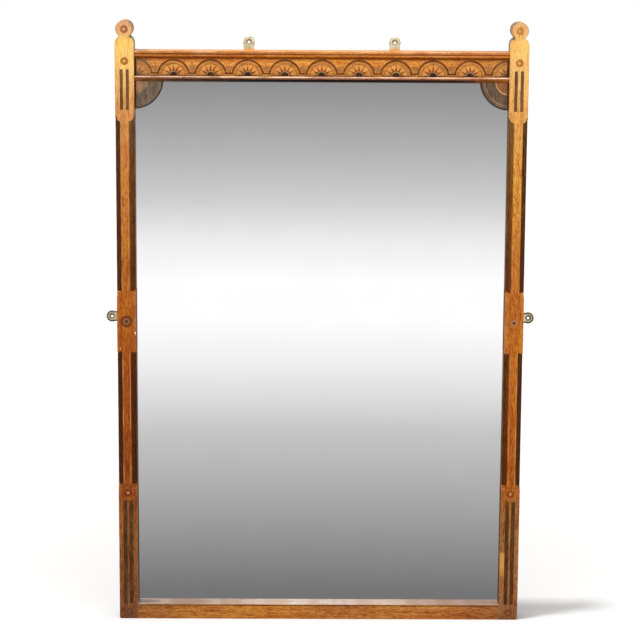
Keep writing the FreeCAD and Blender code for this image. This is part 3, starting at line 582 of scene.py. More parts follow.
def veneer(name, grain, tones, dirt="#3A2A20", grime=0.4, fade=None):
    """Sliced wood, let in and scraped flush, then polished over with the frame.

    The tones are a ramp from the dark to the light streaks of its grain, which are drawn
    4 mm wide and 25 long, coarser than real ones, so that they show. Fade is an axis,
    its two ends and a ramp of colours that tint it from one end to the other. Dust and
    old wax have darkened it unevenly, by grime, in patches of 14 mm, and a paler dust
    lies on what is marked as dusty.
    """
    material, tree, place = new_material(name)
    fibre = tuple(1000 / (25 if axis == grain else 4) for axis in range(3))
    fibres = add_node(tree, "Mapping", {"Vector": place, "Scale": fibre})
    feeds = {"Vector": fibres, "Scale": 1.0, "Detail": 5.0, "Roughness": 0.65}
    streak = add_node(tree, "TexNoise", feeds)
    feeds = {"Vector": place, "Scale": 1000 / 14, "Detail": 4.0, "Roughness": 0.6}
    cloud = add_node(tree, "TexNoise", feeds)
    span = add_node(tree, "MapRange", {0: streak, 1: 0.3, 2: 0.7})
    colour = add_node(tree, "ValToRGB", {0: span}, tones)
    if fade:
        axis, ends, faded = fade
        share = add_node(tree, "SeparateXYZ", {0: place}, out=axis)
        share = add_node(tree, "MapRange", {0: share, 1: ends[0] / 1000, 2: ends[1] / 1000})
        faded = add_node(tree, "ValToRGB", {0: share}, faded)
        colour = add_node(tree, "Mix", {0: 1.0, 6: colour, 7: faded}, **tint)
    dull = add_node(tree, "MapRange", {0: cloud, 1: 0.48, 2: 0.68, 3: 0.0, 4: grime})
    colour = add_node(tree, "Mix", {0: dull, 6: colour, 7: dirt}, **cover)
    dusty = add_node(tree, "Attribute", out="Fac", attribute_name="dusty")
    colour = add_node(tree, "Mix", {0: dusty, 6: colour, 7: "#A87C52"}, **cover)
    rough = add_node(tree, "MapRange", {0: cloud, 3: 0.38, 4: 0.58})
    feeds = {"Base Color": colour, "Roughness": rough, "IOR": 1.5, "Specular IOR Level": 0.18}
    return finished(material, feeds, streak, 0.3, 0.0002)


hollow = np.linspace(0, math.pi / 2, 9)
profile = [(rail_front, nosing_foot)]
profile += list(zip(slip_front + (slip_foot_front - slip_front) * np.sin(hollow),
                    rail_foot + (nosing_foot - rail_foot) * np.cos(hollow)))
profile += [(rail_front, rail_foot)]
shape, marks = lengthwise(profile, worn=(1,))
streaks = [(0.0, "#8A8078"), (0.6, "#C8C0B8"), (1.0, "#FFFFFF")]
stain = [
    (0.0, "#B87234"), (0.07, "#A05C2A"), (0.1, "#604838"), (0.3, "#32261A"), (0.7, "#321E14"),
    (0.85, "#4A2A14"), (0.9, "#6A3C1A"), (0.93, "#B8681C"), (1.0, "#D48020"),
]
wood = veneer("ebonised_slip", 0, streaks, "#140C08", fade=(0, (-inner_edge, inner_edge), stain))
make_piece("slip_wood", shape, wood, "dark_slip", "sight_slip", **marks)


# Bottom rail. It is oak again, level with the fronts of the posts, with a small bead
# run along its upper front edge and a groove under that, painted dark as shade. Its
# top is a sill in front of the glass, painted pale and greyish as a highlight, darker
# in places along its length, and darkened as painted shade where it meets the glass.

sill_level = -589.5
sill_bead = 1.3
sill_quirk = 1.0

bead_low = sill_level - 2 * sill_bead
profile = bow((front + 1, foot + 1), 1, 270, 180, 4)
profile += [(front, bead_low - sill_quirk), (front + 0.8, bead_low - 0.4), (front + 0.6, bead_low)]
profile += bow((front + sill_bead, sill_level - sill_bead), sill_bead, 200, 80, 9)
profile += [(glass_plane - 6, sill_level), (glass_plane - 0.1, sill_level)]
profile += [(glass_plane, sill_level), (glass_plane, glass_foot), (board_plane, glass_foot)]
profile += [(board_plane, board_foot), (back, board_foot)]
profile += bow((back - 1, foot + 1), 1, 0, -90, 4)
# Points 5 and 6 are the groove, 7 to 15 the bead, 16 and 17 the sill, and 18 and 19
# its end at the glass. Both marks change along the rail.
shape, marks = lengthwise(profile, worn=(14, 15, 16))
# The groove, the lower face of the bead and the sill's end at the glass are darkened as painted shade, and
# the top of the bead and the front of the sill are painted pale as a highlight.
marks["stained"][..., 5:7] = 1.0
marks["stained"][..., 7:10] = 0.4
marks["stained"][..., 10:14] = 0.3
marks["worn"][..., 10:14] = 0.35
marks["worn"][..., 17], marks["stained"][..., 18:20] = 0.8, 0.75
x = np.linspace(-inner_edge, inner_edge, 41)
places = [-376, -340, -260, -100, 0, 170, 250, 376]
# Along the rail, the painted highlight's strength and a darkening of the sill's top change.
greyed = np.interp(x, places, [0.9, 0.5, 0.4, 0.8, 0.9, 0.6, 0.42, 0.45])
dirtied = np.interp(x, places, [0.1, 0.5, 0.55, 0.2, 0, 0.2, 0.55, 0.4])
marks["worn"] *= greyed[None, :, None]
marks["stained"][..., 15:18] = dirtied[None, :, None]
sill_tone = [
    (0.0, "#A06C3C"), (0.15, "#B87E38"), (0.4, "#C48634"), (0.52, "#B47838"), (0.65, "#B87C38"),
    (0.85, "#BC8240"), (1.0, "#A47442"),
]
# The pale colour here is the painted highlight.
wood = rail_oak("bottom_rail_oak", sill_tone, wear="#CCC4BA", rubs=(0.6, 1.0))
make_piece("bottom_rail_wood", shape, wood, "oak_rail", "bottom_rail", **marks)


# Brackets. Two quadrant boards of a grey brown wood, 10 thick, stand in front of the
# glass in the upper corners. They are glued to the slip and the posts, and carry
# inlaid lines, a pale ring, four dark petals and a reddish heart.

bracket_middle = (-inner_edge, 502.0)
bracket_radius = 58.0
bracket_front = -37.0
bracket_back = -27.0
bracket_line = 3.0
bracket_border = 5.0
bracket_tan_line = 1.8
petal_tip = 46.7
petal_root = 29.514
ring_radius = 28.014
ring_width = 2.5
bracket_petals = 4
petal_gap = 3.2
petal_round = 5.0
strip_width = 4.0
inlay_depth = 0.6
inlay_rise = 0.3
inlay_edge = 0.25
inlay_side = 0.12


def pad(line, side, half, face, rise=inlay_rise):
    """A let-in strip: a low section carried along lines in the plane of the face.

    Line and side have the shape (copies, rows, 2), in x and z. Side points across the
    strip and half is half its width, so its edges are line - half side and
    line + half side. It stands proud by rise, with its edges eased.
    """
    half = np.broadcast_to(half, line.shape[:2])
    inset = half - np.minimum(inlay_edge, 0.4 * half)
    spans = np.stack([-half, -half, -inset, inset, half, half], axis=-1)
    low = rise - inlay_side
    levels = face - np.array([-inlay_depth, low, rise, rise, low, -inlay_depth])
    flat = line[:, :, None] + side[:, :, None] * spans[..., None]
    height = np.broadcast_to(levels, spans.shape)
    return carried(np.stack([flat[..., 0], height, flat[..., 1]], axis=-1), ends=True)


def pad_between(outer, inner, face, **cut):
    """A let-in strip between two edges, each of the shape (copies, rows, 2)."""
    across = outer - inner
    width = np.linalg.norm(across, axis=-1)
    return pad((outer + inner) / 2, across / width[..., None], width / 2, face, **cut)


def joined(*parts):
    """Several sets of points and faces as one."""
    points, faces, count = [], [], 0
    for some, those in parts:
        points.append(some)
        faces += [tuple(number + count for number in face) for face in those]
        count += len(some)
    return np.concatenate(points), faces


def both_sides(points, faces):
    """The same piece on both sides of the mirror."""
    return joined((points, faces), (points * [-1, 1, 1], faces))


def quadrant(outer, inner, corner, clear, rows=37):
    """Edges of a bracket's ring between two radii, as (rows, 2) points in x and z.

    Each edge runs round the bracket's middle, from the level of the rail's foot to the
    strip beside the post. With no inner radius, the inner edge is the corner point.
    """
    drop = bracket_middle[1] - rail_foot
    share = np.linspace(0, 1, rows)
    edges = []
    for radius in (outer, inner):
        if radius == 0:
            edges.append(np.tile(corner, (rows, 1)))
            continue
        start, stop = math.asin(drop / radius), math.acos(clear / radius)
        turn = start + (stop - start) * share
        around = np.stack([np.cos(turn), -np.sin(turn)], axis=-1)
        edges.append(np.array(bracket_middle) + radius * around)
    return edges


rim, core = quadrant(bracket_radius, 0, (bracket_middle[0], rail_foot), 0)
outward = (rim - core) / np.linalg.norm(rim - core, axis=-1)[:, None]
levels = [bracket_back, bracket_back - 0.8, bracket_front + 0.6, bracket_front]
edges = [(core, bracket_back)]
edges += [(rim - outward * inset, level) for inset, level in zip([0.8, 0.0, 0.0, 0.6], levels)]
edges += [(core, bracket_front)]
loop = [np.stack([edge[:, 0], 0 * edge[:, 0] + level, edge[:, 1]], axis=-1) for edge, level in edges]
points, faces = carried(np.stack(loop, axis=1)[None], ends=True)
greyed = {"left": [(0.0, "#54483C"), (0.5, "#746450"), (1.0, "#908068")],
          "right": [(0.0, "#4C3A2C"), (0.5, "#6C5644"), (1.0, "#8C7054")]}
for side, sign in (("left", 1), ("right", -1)):
    wood = veneer(side + "_bracket_wood", 2, greyed[side], "#54493A", 0.7)
    make_piece(side + "_bracket_board", (points * [sign, 1, 1], faces), wood, "bracket_wood",
               side + "_bracket")

streaks = [(0.0, "#B4B0A8"), (0.5, "#DCD8D0"), (1.0, "#FFFFFF")]


def two_sides(name, left, right, dirt="#54483A", grime=0.5):
    """A veneer used on both brackets, of which the left one has been left dustier."""
    tones = [(0.45, left), (0.55, right)]
    return veneer(name, 2, streaks, dirt, grime, fade=(0, (-400, 400), tones))


tan_radius = bracket_radius - bracket_line - bracket_border
heart_radius = ring_radius - ring_width
line_wood = two_sides("greyed_line_wood", "#907C66", "#B08E68")
ring_wood = two_sides("pale_ring_wood", "#A48468", "#E8AA60", grime=0.2)
petal_wood = two_sides("brown_petal_wood", "#84705C", "#7A5A48")
red = two_sides("reddish_veneer", "#B48868", "#A86C44", "#5A5040", 0.7)
edge_wood = two_sides("dark_edge_wood", "#4A3C30", "#4A3020")
for name, outer, inner, wood, slot, node in (
    ("bracket_edges", bracket_radius, bracket_radius - bracket_line, edge_wood, "dark_inlay",
     "bracket_edge_lines"),
    ("bracket_tan_bands", tan_radius, tan_radius - bracket_tan_line, line_wood, "tan_inlay",
     "bracket_tan_lines"),
    ("bracket_pale_rings", ring_radius, heart_radius, ring_wood, "pale_inlay", "bracket_rings"),
    ("bracket_red_hearts", heart_radius, 0, red, "heart_inlay", "bracket_hearts"),
):
    rim, core = quadrant(outer, inner, (bracket_middle[0] + strip_width, rail_foot), strip_width)
    shape = both_sides(*pad_between(rim[None], core[None], bracket_front))
    make_piece(name, shape, wood, slot, node)


def petals(angles, root, tip, half_angle, gap, ease, middles, face, rows=19, narrow=0.0):
    """Let-in petals on rays: half width r tan(half angle) - gap / 2, round at the tip.

    Near the tip the half width falls by ease (1 - sqrt(1 - u^2)), where u runs from 0
    to 1 over the last ease of the ray. At the root it is less by narrow, which falls
    off along the ray. There is one petal for each angle at each middle.
    """
    share = np.sin(np.linspace(0, math.pi / 2, rows))
    radius = root + (tip - root) * share
    over = np.clip((radius - (tip - ease)) / ease, 0, 1)
    half = radius * math.tan(math.radians(half_angle)) - gap / 2 - narrow * (1 - share) ** 1.5
    half = np.minimum(half, ease) * np.sqrt(1 - over**2) + np.maximum(half - ease, 0)
    half = np.maximum(half, 0.02)
    turn = np.radians(np.tile(angles, len(middles)))
    ray = np.stack([np.cos(turn), np.sin(turn)], axis=-1)
    side = np.stack([-np.sin(turn), np.cos(turn)], axis=-1)
    middles = np.repeat(middles, len(angles), axis=0)
    line = middles[:, None] + ray[:, None] * radius[None, :, None]
    return pad(line, np.broadcast_to(side[:, None], line.shape), half[None], face)


half_angle = 45 / bracket_petals
angles = -(2 * np.arange(bracket_petals) + 1) * half_angle
points, faces = petals(angles, petal_root, petal_tip, half_angle, petal_gap, petal_round,
                       np.array([bracket_middle]), bracket_front)
points[:, 0] = np.maximum(points[:, 0], bracket_middle[0] + strip_width + 0.5)
points[:, 2] = np.minimum(points[:, 2], rail_foot - 0.5)
make_piece("bracket_leaves", both_sides(points, faces), petal_wood, "brown_inlay", "bracket_petals")


# Frieze inlay, let into the rail. Eleven fans, the end two halved, each have a dark
# arch, a tan band, a fine line, six gold petals, a pale rim and a dark hub. Dark ties
# join them, with a three-leaved spray and a dot above, and dark strips close the ends,
# standing partly for the shade beside the posts.

fan_base = nosing_top
fan_pitch = 74.5
fan_count = 11
fan_radius = 33.0
fan_line = 3.6
fan_band_foot = 24.6
fan_ground = 23.0
fan_rim = 9.8
fan_hub = 7.3
fan_petals = 6
fan_petal_root = 10.4
fan_petal_tip = 22.7
fan_petal_narrowing = 2.5
tie_rise = 3.0
tie_height = 3.0
tie_lap = 0.2
spray_start = 7.0
spray_tip = 20.0
spray_angle = 16.0
dot_radius = 1.5
dot_level = 535.0

fan_x = fan_pitch * (np.arange(fan_count) - (fan_count - 1) / 2)
fan_middles = np.stack([fan_x, fan_base + 0 * fan_x], axis=1)


def fan_ring(outer, inner, lowest=0.0, rows=33, **cut):
    """A let-in half ring of every fan between two radii, of the end fans a quarter."""
    start = np.full(fan_count, lowest)
    stop = np.full(fan_count, 180 - lowest)
    start[-1], stop[0] = 90, 90
    share = np.linspace(0, 1, rows)[None, :]
    turn = np.radians(start[:, None] * (1 - share) + stop[:, None] * share)
    around = np.stack([np.cos(turn), np.sin(turn)], axis=-1)
    middle = fan_middles[:, None]
    return pad_between(middle + outer * around, middle + inner * around, rail_front, **cut)


def straight(starts, ends, half, face):
    """Let-in straight strips from the starts to the ends, in x and z."""
    starts, ends = np.array(starts, float), np.array(ends, float)
    share = np.linspace(0, 1, 5)[None, :, None]
    line = starts[:, None] * (1 - share) + ends[:, None] * share
    ray = (ends - starts) / np.linalg.norm(ends - starts, axis=1)[:, None]
    side = np.stack([-ray[:, 1], ray[:, 0]], axis=1)[:, None]
    return pad(line, np.broadcast_to(side, line.shape), half, face)


def turned(profile, middles, count=40):
    """Discs about lines along Y: the (radius, y) profile turned about each middle."""
    profile, middles = np.array(profile), np.array(middles, float)
    turn = np.linspace(0, 2 * math.pi, count, endpoint=False)
    sections = np.empty((len(middles), len(profile), count, 3))
    sections[..., 0] = middles[:, None, None, 0] + profile[None, :, None, 0] * np.cos(turn)
    sections[..., 1] = profile[None, :, None, 1]
    sections[..., 2] = middles[:, None, None, 1] + profile[None, :, None, 0] * np.sin(turn)
    return carried(sections, ends=True)


def disc(radius, face, hole=0.0):
    """The profile of a let-in disc or ring with an eased rim, from its back forwards."""
    low, level, deep = face - inlay_rise + inlay_side, face - inlay_rise, face + inlay_depth
    rim = [(radius, deep), (radius, low), (radius - inlay_edge, level)]
    if hole:
        return rim + [(hole + inlay_edge, level), (hole, low), (hole, deep)]
    return [(radius / 2, deep)] + rim + [(radius / 2, level)]


def frieze_piece(name, shape, material, slot, node):
    """A set of inlays of the frieze, dusty towards its ends, most at the left."""
    places, dust = [-377, -356, -338, 338, 352, 377], [0.65, 0.45, 0, 0, 0.2, 0.45]
    make_piece(name, shape, material, slot, node, dusty=np.interp(shape[0][:, 0], places, dust))


umber = veneer("umber_veneer", 0, [(0.0, "#542606"), (0.5, "#78400C"), (1.0, "#925818")])
faded = veneer("faded_brown_veneer", 0, [(0.0, "#A8682C"), (0.5, "#BC7834"), (1.0, "#CC8C40")])
tan_tones = [(0.0, "#AE6820"), (0.5, "#CE8436"), (1.0, "#E8A24C")]
tan = veneer("tan_veneer", 0, tan_tones, "#7A4E24", 0.3)
burnt = veneer("burnt_orange_veneer", 0, [(0.0, "#883E08"), (0.5, "#9C4C0E"), (1.0, "#B0601A")])
gold_tones = [(0.0, "#D08438"), (0.5, "#EC9C48"), (1.0, "#FCB864")]
gold = veneer("golden_veneer", 0, gold_tones, grime=0.25)
pale = veneer("pale_fruitwood", 0, [(0.0, "#8C6C40"), (0.5, "#A88852"), (1.0, "#C09E66")])
dark = veneer("dark_hardwood", 2, [(0.0, "#2E1608"), (0.5, "#4E2A10"), (1.0, "#74441C")])
sand_tones = [(0.0, "#94603A"), (0.5, "#B0783E"), (1.0, "#C88E50")]
sand = veneer("sanded_pale_veneer", 2, sand_tones, "#6E4A28", 0.3)

arches = fan_ring(fan_radius, fan_radius - fan_line, np.degrees(math.asin(tie_rise / fan_radius)))
frieze_piece("frieze_arches", arches, umber, "dark_inlay", "frieze_arch_lines")
for name, outer, inner, cut, wood, slot, node in (
    ("inner_lines", fan_band_foot, fan_ground, {}, faded, "dark_inlay", "arch_lines"),
    ("tan_bands", fan_radius - fan_line, fan_band_foot, {}, tan, "tan_inlay", "arch_bands"),
    ("grounds", fan_ground, fan_rim, {"rise": 0.1}, burnt, "brown_inlay", "fan_grounds"),
    ("rims", fan_rim, fan_hub, {}, pale, "pale_inlay", "hub_rims"),
    ("dark_hubs", fan_hub, 0.0, {"rows": 25}, dark, "dark_inlay", "hubs"),
):
    frieze_piece("frieze_" + name, fan_ring(outer, inner, **cut), wood, slot, "frieze_" + node)

step = 90 / fan_petals
angles = (2 * np.arange(fan_petals) + 1) * step
half = fan_petals // 2
fans = ((angles, fan_middles[1:-1]), (angles[:half], fan_middles[:1]), (angles[half:], fan_middles[-1:]))
shape = joined(*(petals(turns, fan_petal_root, fan_petal_tip, step, 0.3, 3.0, middles, rail_front,
                        narrow=fan_petal_narrowing) for turns, middles in fans))
frieze_piece("frieze_gold_petals", shape, gold, "petal_inlay", "frieze_petals")

tie_middle = tie_rise + tie_height / 2
reach = math.sqrt(fan_radius**2 - tie_middle**2) - tie_lap
shape = straight([(x + reach, fan_base + tie_middle) for x in fan_x[:-1]],
                 [(x - reach, fan_base + tie_middle) for x in fan_x[1:]], tie_height / 2, rail_front)
frieze_piece("frieze_tie_bars", shape, umber, "dark_inlay", "frieze_ties")
gaps = fan_middles[:-1] + [fan_pitch / 2, 0]
angles = [90 - spray_angle, 90, 90 + spray_angle]
shape = petals(angles, spray_start, spray_tip, spray_angle / 2, 0.8, 2.2, gaps, rail_front)
frieze_piece("frieze_spray_leaves", shape, sand, "brown_inlay", "frieze_sprays")
shape = turned(disc(dot_radius, rail_front), gaps * [1, 0] + [0, dot_level], 16)
frieze_piece("frieze_dots", shape, faded, "dark_inlay", "frieze_spray_dots")

# These dark strips at the ends of the frieze and the brackets are partly painted shade beside the posts.
strip_x = inner_edge - strip_width / 2
low_end = bracket_middle[1] - math.sqrt(bracket_radius**2 - strip_width**2)
strips = [straight([(-strip_x, low), (strip_x, low)], [(-strip_x, high), (strip_x, high)],
                   strip_width / 2, face)
          for low, high, face in ((fan_base, cornice_foot, rail_front), (low_end, rail_foot, bracket_front))]
make_piece("dark_end_strips", joined(*strips), dark, "dark_inlay", "end_strips")


# Inlay of the posts. Small dark rings with pale eyes mark the disc, the upper block,
# the lower block and the foot. A larger ring with a pale band sits on the middle
# block, and pairs of dark bars stand on the upper and lower blocks.

ring_levels = [disc_level, 540.0, -350.5, -606.2]
post_ring = 8.0
post_eye = 2.9
middle_level = 10.0
middle_ring = 12.2
middle_band = 7.0
bar_pitch = 12.2
upper_bars = (442.5, 523.5)
upper_bar_width = 6.2
lower_bars = (-588.0, -367.0)
lower_bar_width = 7.7

streaks = [(0.0, "#C8A080"), (0.5, "#F0DCC8"), (1.0, "#FFFFFF")]
# The rings and eyes grow paler towards the head, like the posts, partly as painted light from above.
ring_fade = {
    "left": [(0.03, "#6A4024"), (0.22, "#7C3A08"), (0.49, "#7C3A06"), (0.52, "#7C3A06"),
             (0.93, "#B47C2E"), (1.0, "#C08C58")],
    "right": [(0.03, "#7A4818"), (0.22, "#8C480A"), (0.49, "#B07028"), (0.52, "#B07028"),
              (0.93, "#C48838"), (1.0, "#D49C50")],
}
eye_fade = {
    "left": [(0.03, "#70503A"), (0.22, "#DC9C6C"), (0.5, "#C89070"), (0.93, "#F0BC80"),
             (1.0, "#FCE0C4")],
    "right": [(0.03, "#8E6038"), (0.22, "#C88850"), (0.5, "#C89070"), (0.93, "#F4BC74"),
              (1.0, "#F0C080")],
}
band_fade = {"left": "#8D5A32", "right": "#B07444"}
dot_tone = {"left": "#4A2408", "right": "#701E04"}
high_tones = [(0.0, "#563416"), (0.5, "#744A28"), (1.0, "#8E643A")]
low_tones = [(0.0, "#301A04"), (0.5, "#4C2E0C"), (1.0, "#68441A")]
high_wood = veneer("faded_hardwood", 2, high_tones, "#523A22", 0.3)
low_wood = veneer("dark_bar_hardwood", 2, low_tones, "#241408", 0.25)
for side, sign in (("left", -1), ("right", 1)):
    x = sign * post_middle
    places = [(x, level) for level in ring_levels]
    large = [(x, middle_level)]
    rings = joined(turned(disc(post_ring, front, post_eye), places),
                   turned(disc(middle_ring, front, middle_band), large, 56))
    ring_wood = veneer(side + "_ring_wood", 2, streaks, grime=0.15, fade=(2, (foot, head), ring_fade[side]))
    eye_wood = veneer(side + "_eye_wood", 2, streaks, grime=0.15, fade=(2, (foot, head), eye_fade[side]))
    band_wood = veneer(side + "_band_wood", 2, [(0.0, "#845C34"), (1.0, band_fade[side])])
    dot_wood = veneer(side + "_dot_wood", 2, [(0.0, "#381804"), (1.0, dot_tone[side])])
    band = turned(disc(middle_band, front, post_eye), large)
    for name, shape, wood, slot, node in (
        ("_dark_rings", rings, ring_wood, "dark_inlay", "_ring_inlays"),
        ("_pale_eyes", turned(disc(post_eye, front), places, 24), eye_wood, "pale_inlay", "_ring_eyes"),
        ("_pale_band", band, band_wood, "pale_inlay", "_middle_band"),
        ("_dark_dot", turned(disc(post_eye, front), large, 24), dot_wood, "dark_inlay", "_middle_dot"),
    ):
        make_piece(side + name, shape, wood, slot, side + node)
    for name, ends, width, wood in (("_upper", upper_bars, upper_bar_width, high_wood),
                                    ("_lower", lower_bars, lower_bar_width, low_wood)):
        starts, stops = ([(x - bar_pitch / 2, end), (x + bar_pitch / 2, end)] for end in ends)
        make_piece(side + name + "_strips", straight(starts, stops, width / 2, front), wood,
                   "dark_inlay", side + name + "_bars")


# Mirror glass. A 5 mm plate, silvered at the back, from behind the rebate's step. It
# is bright and nearly flawless. Along its edges the frame's dark rebate shows in the
# thickness of the glass, as a shade 2.6 mm wide.

shade_width = 2.6

silver, tree, place = new_material("silvered_plate_glass")
haze = add_node(tree, "TexNoise", {"Vector": place, "Scale": 1000 / 90, "Detail": 3.0})
colour = add_node(tree, "ValToRGB", {0: haze}, [(0.3, "#F7F7F7"), (0.7, "#F9F9F9")])
across, _, up = add_node(tree, "SeparateXYZ", {0: place}, out=None).outputs
aside = add_node(tree, "Math", {0: across}, operation="ABSOLUTE")
for away, edge in ((aside, inner_edge), (up, rail_foot)):
    shade = {0: away, 1: edge / 1000, 2: (edge - shade_width) / 1000, 3: 0.85, 4: 0.0}
    shade = add_node(tree, "MapRange", shade)
    colour = add_node(tree, "Mix", {0: shade, 6: colour, 7: "#4A3E34"}, **cover)
rough = add_node(tree, "MapRange", {0: haze, 1: 0.3, 2: 0.8, 3: 0.0, 4: 0.02})
finished(silver, {"Base Color": colour, "Roughness": rough, "Metallic": 1.0})


def bare(node, material):
    """A plain turned or sawn part whose solid is shown as it is, with its material."""
    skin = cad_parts[node].data
    skin.materials.clear()
    skin.materials.append(material)


bare("mirror_glass", silver)


# Back. Five upright pine boards close the back, sawn nearly 8 thick and never
# finished, so they have darkened with dust. Small pine blocks wedge the glass forward,
# steel screws hold the boards, and oak pegs pin the rails' tenons in the posts.

board_width = 156.0
board_gap = 0.5
board_low = -604.0
board_high = 513.5
board_count = 5
board_arris = 0.6
board_round = 0.9
joint_width = 0.8


def sawn_pine(name, tones, dust="#6B5844"):
    """Sawn pine, upright: growth bands 16 mm wide, saw marks 7 apart and grey dust.

    Each plank has its own shade, and what is marked as a joint has filled with dirt.
    """
    material, tree, place = new_material(name)
    turns = add_node(tree, "Attribute", out="Fac", attribute_name="plank")
    apart = add_node(tree, "CombineXYZ", {0: turns, 2: turns})
    moved = add_node(tree, "VectorMath", {0: place, 1: apart}, operation="ADD")
    fibres = add_node(tree, "Mapping", {"Vector": moved, "Scale": (1000, 1000, 30)})
    feeds = {"Vector": fibres, "Scale": 1 / 16, "Detail": 3.0, "Distortion": 0.6}
    band = add_node(tree, "TexNoise", feeds)
    # A wave of scale 1 is 314 mm long, so this one is 7.
    feeds = {"Vector": moved, "Scale": 1000 / 22, "Distortion": 1.2, "Detail": 2.0}
    saw = add_node(tree, "TexWave", feeds, out="Fac", bands_direction="Z")
    cloud = add_node(tree, "TexNoise", {"Vector": moved, "Scale": 1000 / 60, "Detail": 5.0})
    span = add_node(tree, "MapRange", {0: band, 1: 0.35, 2: 0.68})
    colour = add_node(tree, "ValToRGB", {0: span}, tones)
    dirty = add_node(tree, "MapRange", {0: cloud, 1: 0.45, 2: 0.7, 3: 0.0, 4: 0.6})
    colour = add_node(tree, "Mix", {0: dirty, 6: colour, 7: dust}, **cover)
    own = add_node(tree, "TexWhiteNoise", {"W": turns}, out="Value", noise_dimensions="1D")
    own = add_node(tree, "ValToRGB", {0: own}, [(0.0, "#D0C4B4"), (1.0, "#FFFFFF")])
    colour = add_node(tree, "Mix", {0: 1.0, 6: colour, 7: own}, **tint)
    joint = add_node(tree, "Attribute", out="Fac", attribute_name="joint")
    colour = add_node(tree, "Mix", {0: joint, 6: colour, 7: "#1E140C"}, **cover)
    rough = add_node(tree, "MapRange", {0: cloud, 3: 0.75, 4: 0.92})
    height = add_node(tree, "Math", {0: saw, 1: 0.4, 2: band}, operation="MULTIPLY_ADD")
    feeds = {"Base Color": colour, "Roughness": rough, "IOR": 1.45}
    return finished(material, feeds, height, 0.6, 0.0004)


def rounded(width, height, ease, count=5):
    """The outline of a rectangle about the origin, with its corners rounded by ease."""
    x, y = width / 2 - ease, height / 2 - ease
    corners = [(x, y, 0), (-x, y, 90), (-x, -y, 180), (x, -y, 270)]
    return np.concatenate([bow((a, b), ease, start, start + 90, count) for a, b, start in corners])


centres = (np.arange(board_count) - (board_count - 1) / 2) * (board_width + board_gap)
thick = back - board_plane
ends = [(board_low, board_arris), (board_low + board_arris, 0), (board_high - board_arris, 0),
        (board_high, board_arris)]
sections = np.empty((board_count, len(ends), 20, 3))
for row, (level, inset) in enumerate(ends):
    outline = rounded(board_width - 2 * inset, thick - 2 * inset, board_round)
    sections[:, row, :, 0] = centres[:, None] + outline[None, :, 0]
    sections[:, row, :, 1] = board_plane + thick / 2 + outline[None, :, 1]
    sections[:, row, :, 2] = level
beside = np.abs(sections[..., 0] - centres[:, None, None])
pine = sawn_pine("sawn_pine_board", [(0.0, "#7C5A3A"), (0.5, "#957048"), (1.0, "#AC8759")])
make_piece("pine_back_boards", carried(sections, ends=True), pine, "pine_board",
           *("back_board_%d" % number for number in range(1, board_count + 1)),
           plank=np.broadcast_to(centres[:, None, None] / 100, sections.shape[:3]),
           joint=beside > board_width / 2 - joint_width)
bare("glazing_blocks", sawn_pine("sawn_pine_block", [(0.0, "#9C7648"), (1.0, "#C4A06C")]))
bare("joint_pegs", oak("peg_oak", 1, (front, 0), [(0.0, "#8A5E36"), (1.0, "#8A5E36")]))


def worn_metal(name, tones, low, high, grain=6, tarnish="#4E4220"):
    """Solid metal, cast or turned, then dulled by air and handling.

    The tones run from its dull to its bright patches, and grain is their size in mm.
    Roughness runs from low, where it is rubbed, to high. What is marked dark has the
    colour of tarnish and is dull; on the plates that stands for tarnish and for painted shade.
    """
    material, tree, place = new_material(name)
    feeds = {"Vector": place, "Scale": 1000 / grain, "Detail": 5.0, "Roughness": 0.65}
    patch = add_node(tree, "TexNoise", feeds)
    span = add_node(tree, "MapRange", {0: patch, 1: 0.35, 2: 0.65})
    colour = add_node(tree, "ValToRGB", {0: span}, tones)
    dulled = add_node(tree, "Attribute", out="Fac", attribute_name="tarnished")
    colour = add_node(tree, "Mix", {0: dulled, 6: colour, 7: tarnish}, **cover)
    rough = add_node(tree, "MapRange", {0: patch, 1: 0.35, 2: 0.65, 3: high, 4: low})
    rough = add_node(tree, "Mix", {0: dulled, 2: rough, 3: 0.55})
    feeds = {"Base Color": colour, "Roughness": rough, "Metallic": 1.0}
    return finished(material, feeds, patch, 0.25, 0.0002)


bare("back_board_screws", worn_metal("dull_steel", [(0.0, "#4A423A"), (1.0, "#8C8780")], 0.4, 0.6))


# Hanging plates. Four cast brass plates are let into the back, two at the top rail and
# one at each post, with two countersunk screws each. Each has a round eye, sunk for
# the wall screw. The brass has yellowed, and those at the posts have darkened more.

plate_thickness = 3.2
eye_radius = 11.6
eye_bore = 2.8
eye_sink = 6.0
sink_depth = 0.9
neck_half_width = 10.6
neck_reach = 20.0
base_width = 42.0
base_depth = 19.0
base_round = 3.0
base_middle = 27.5
top_eyes = (147.0, 576.0)
side_eyes = (428.3, 13.0)


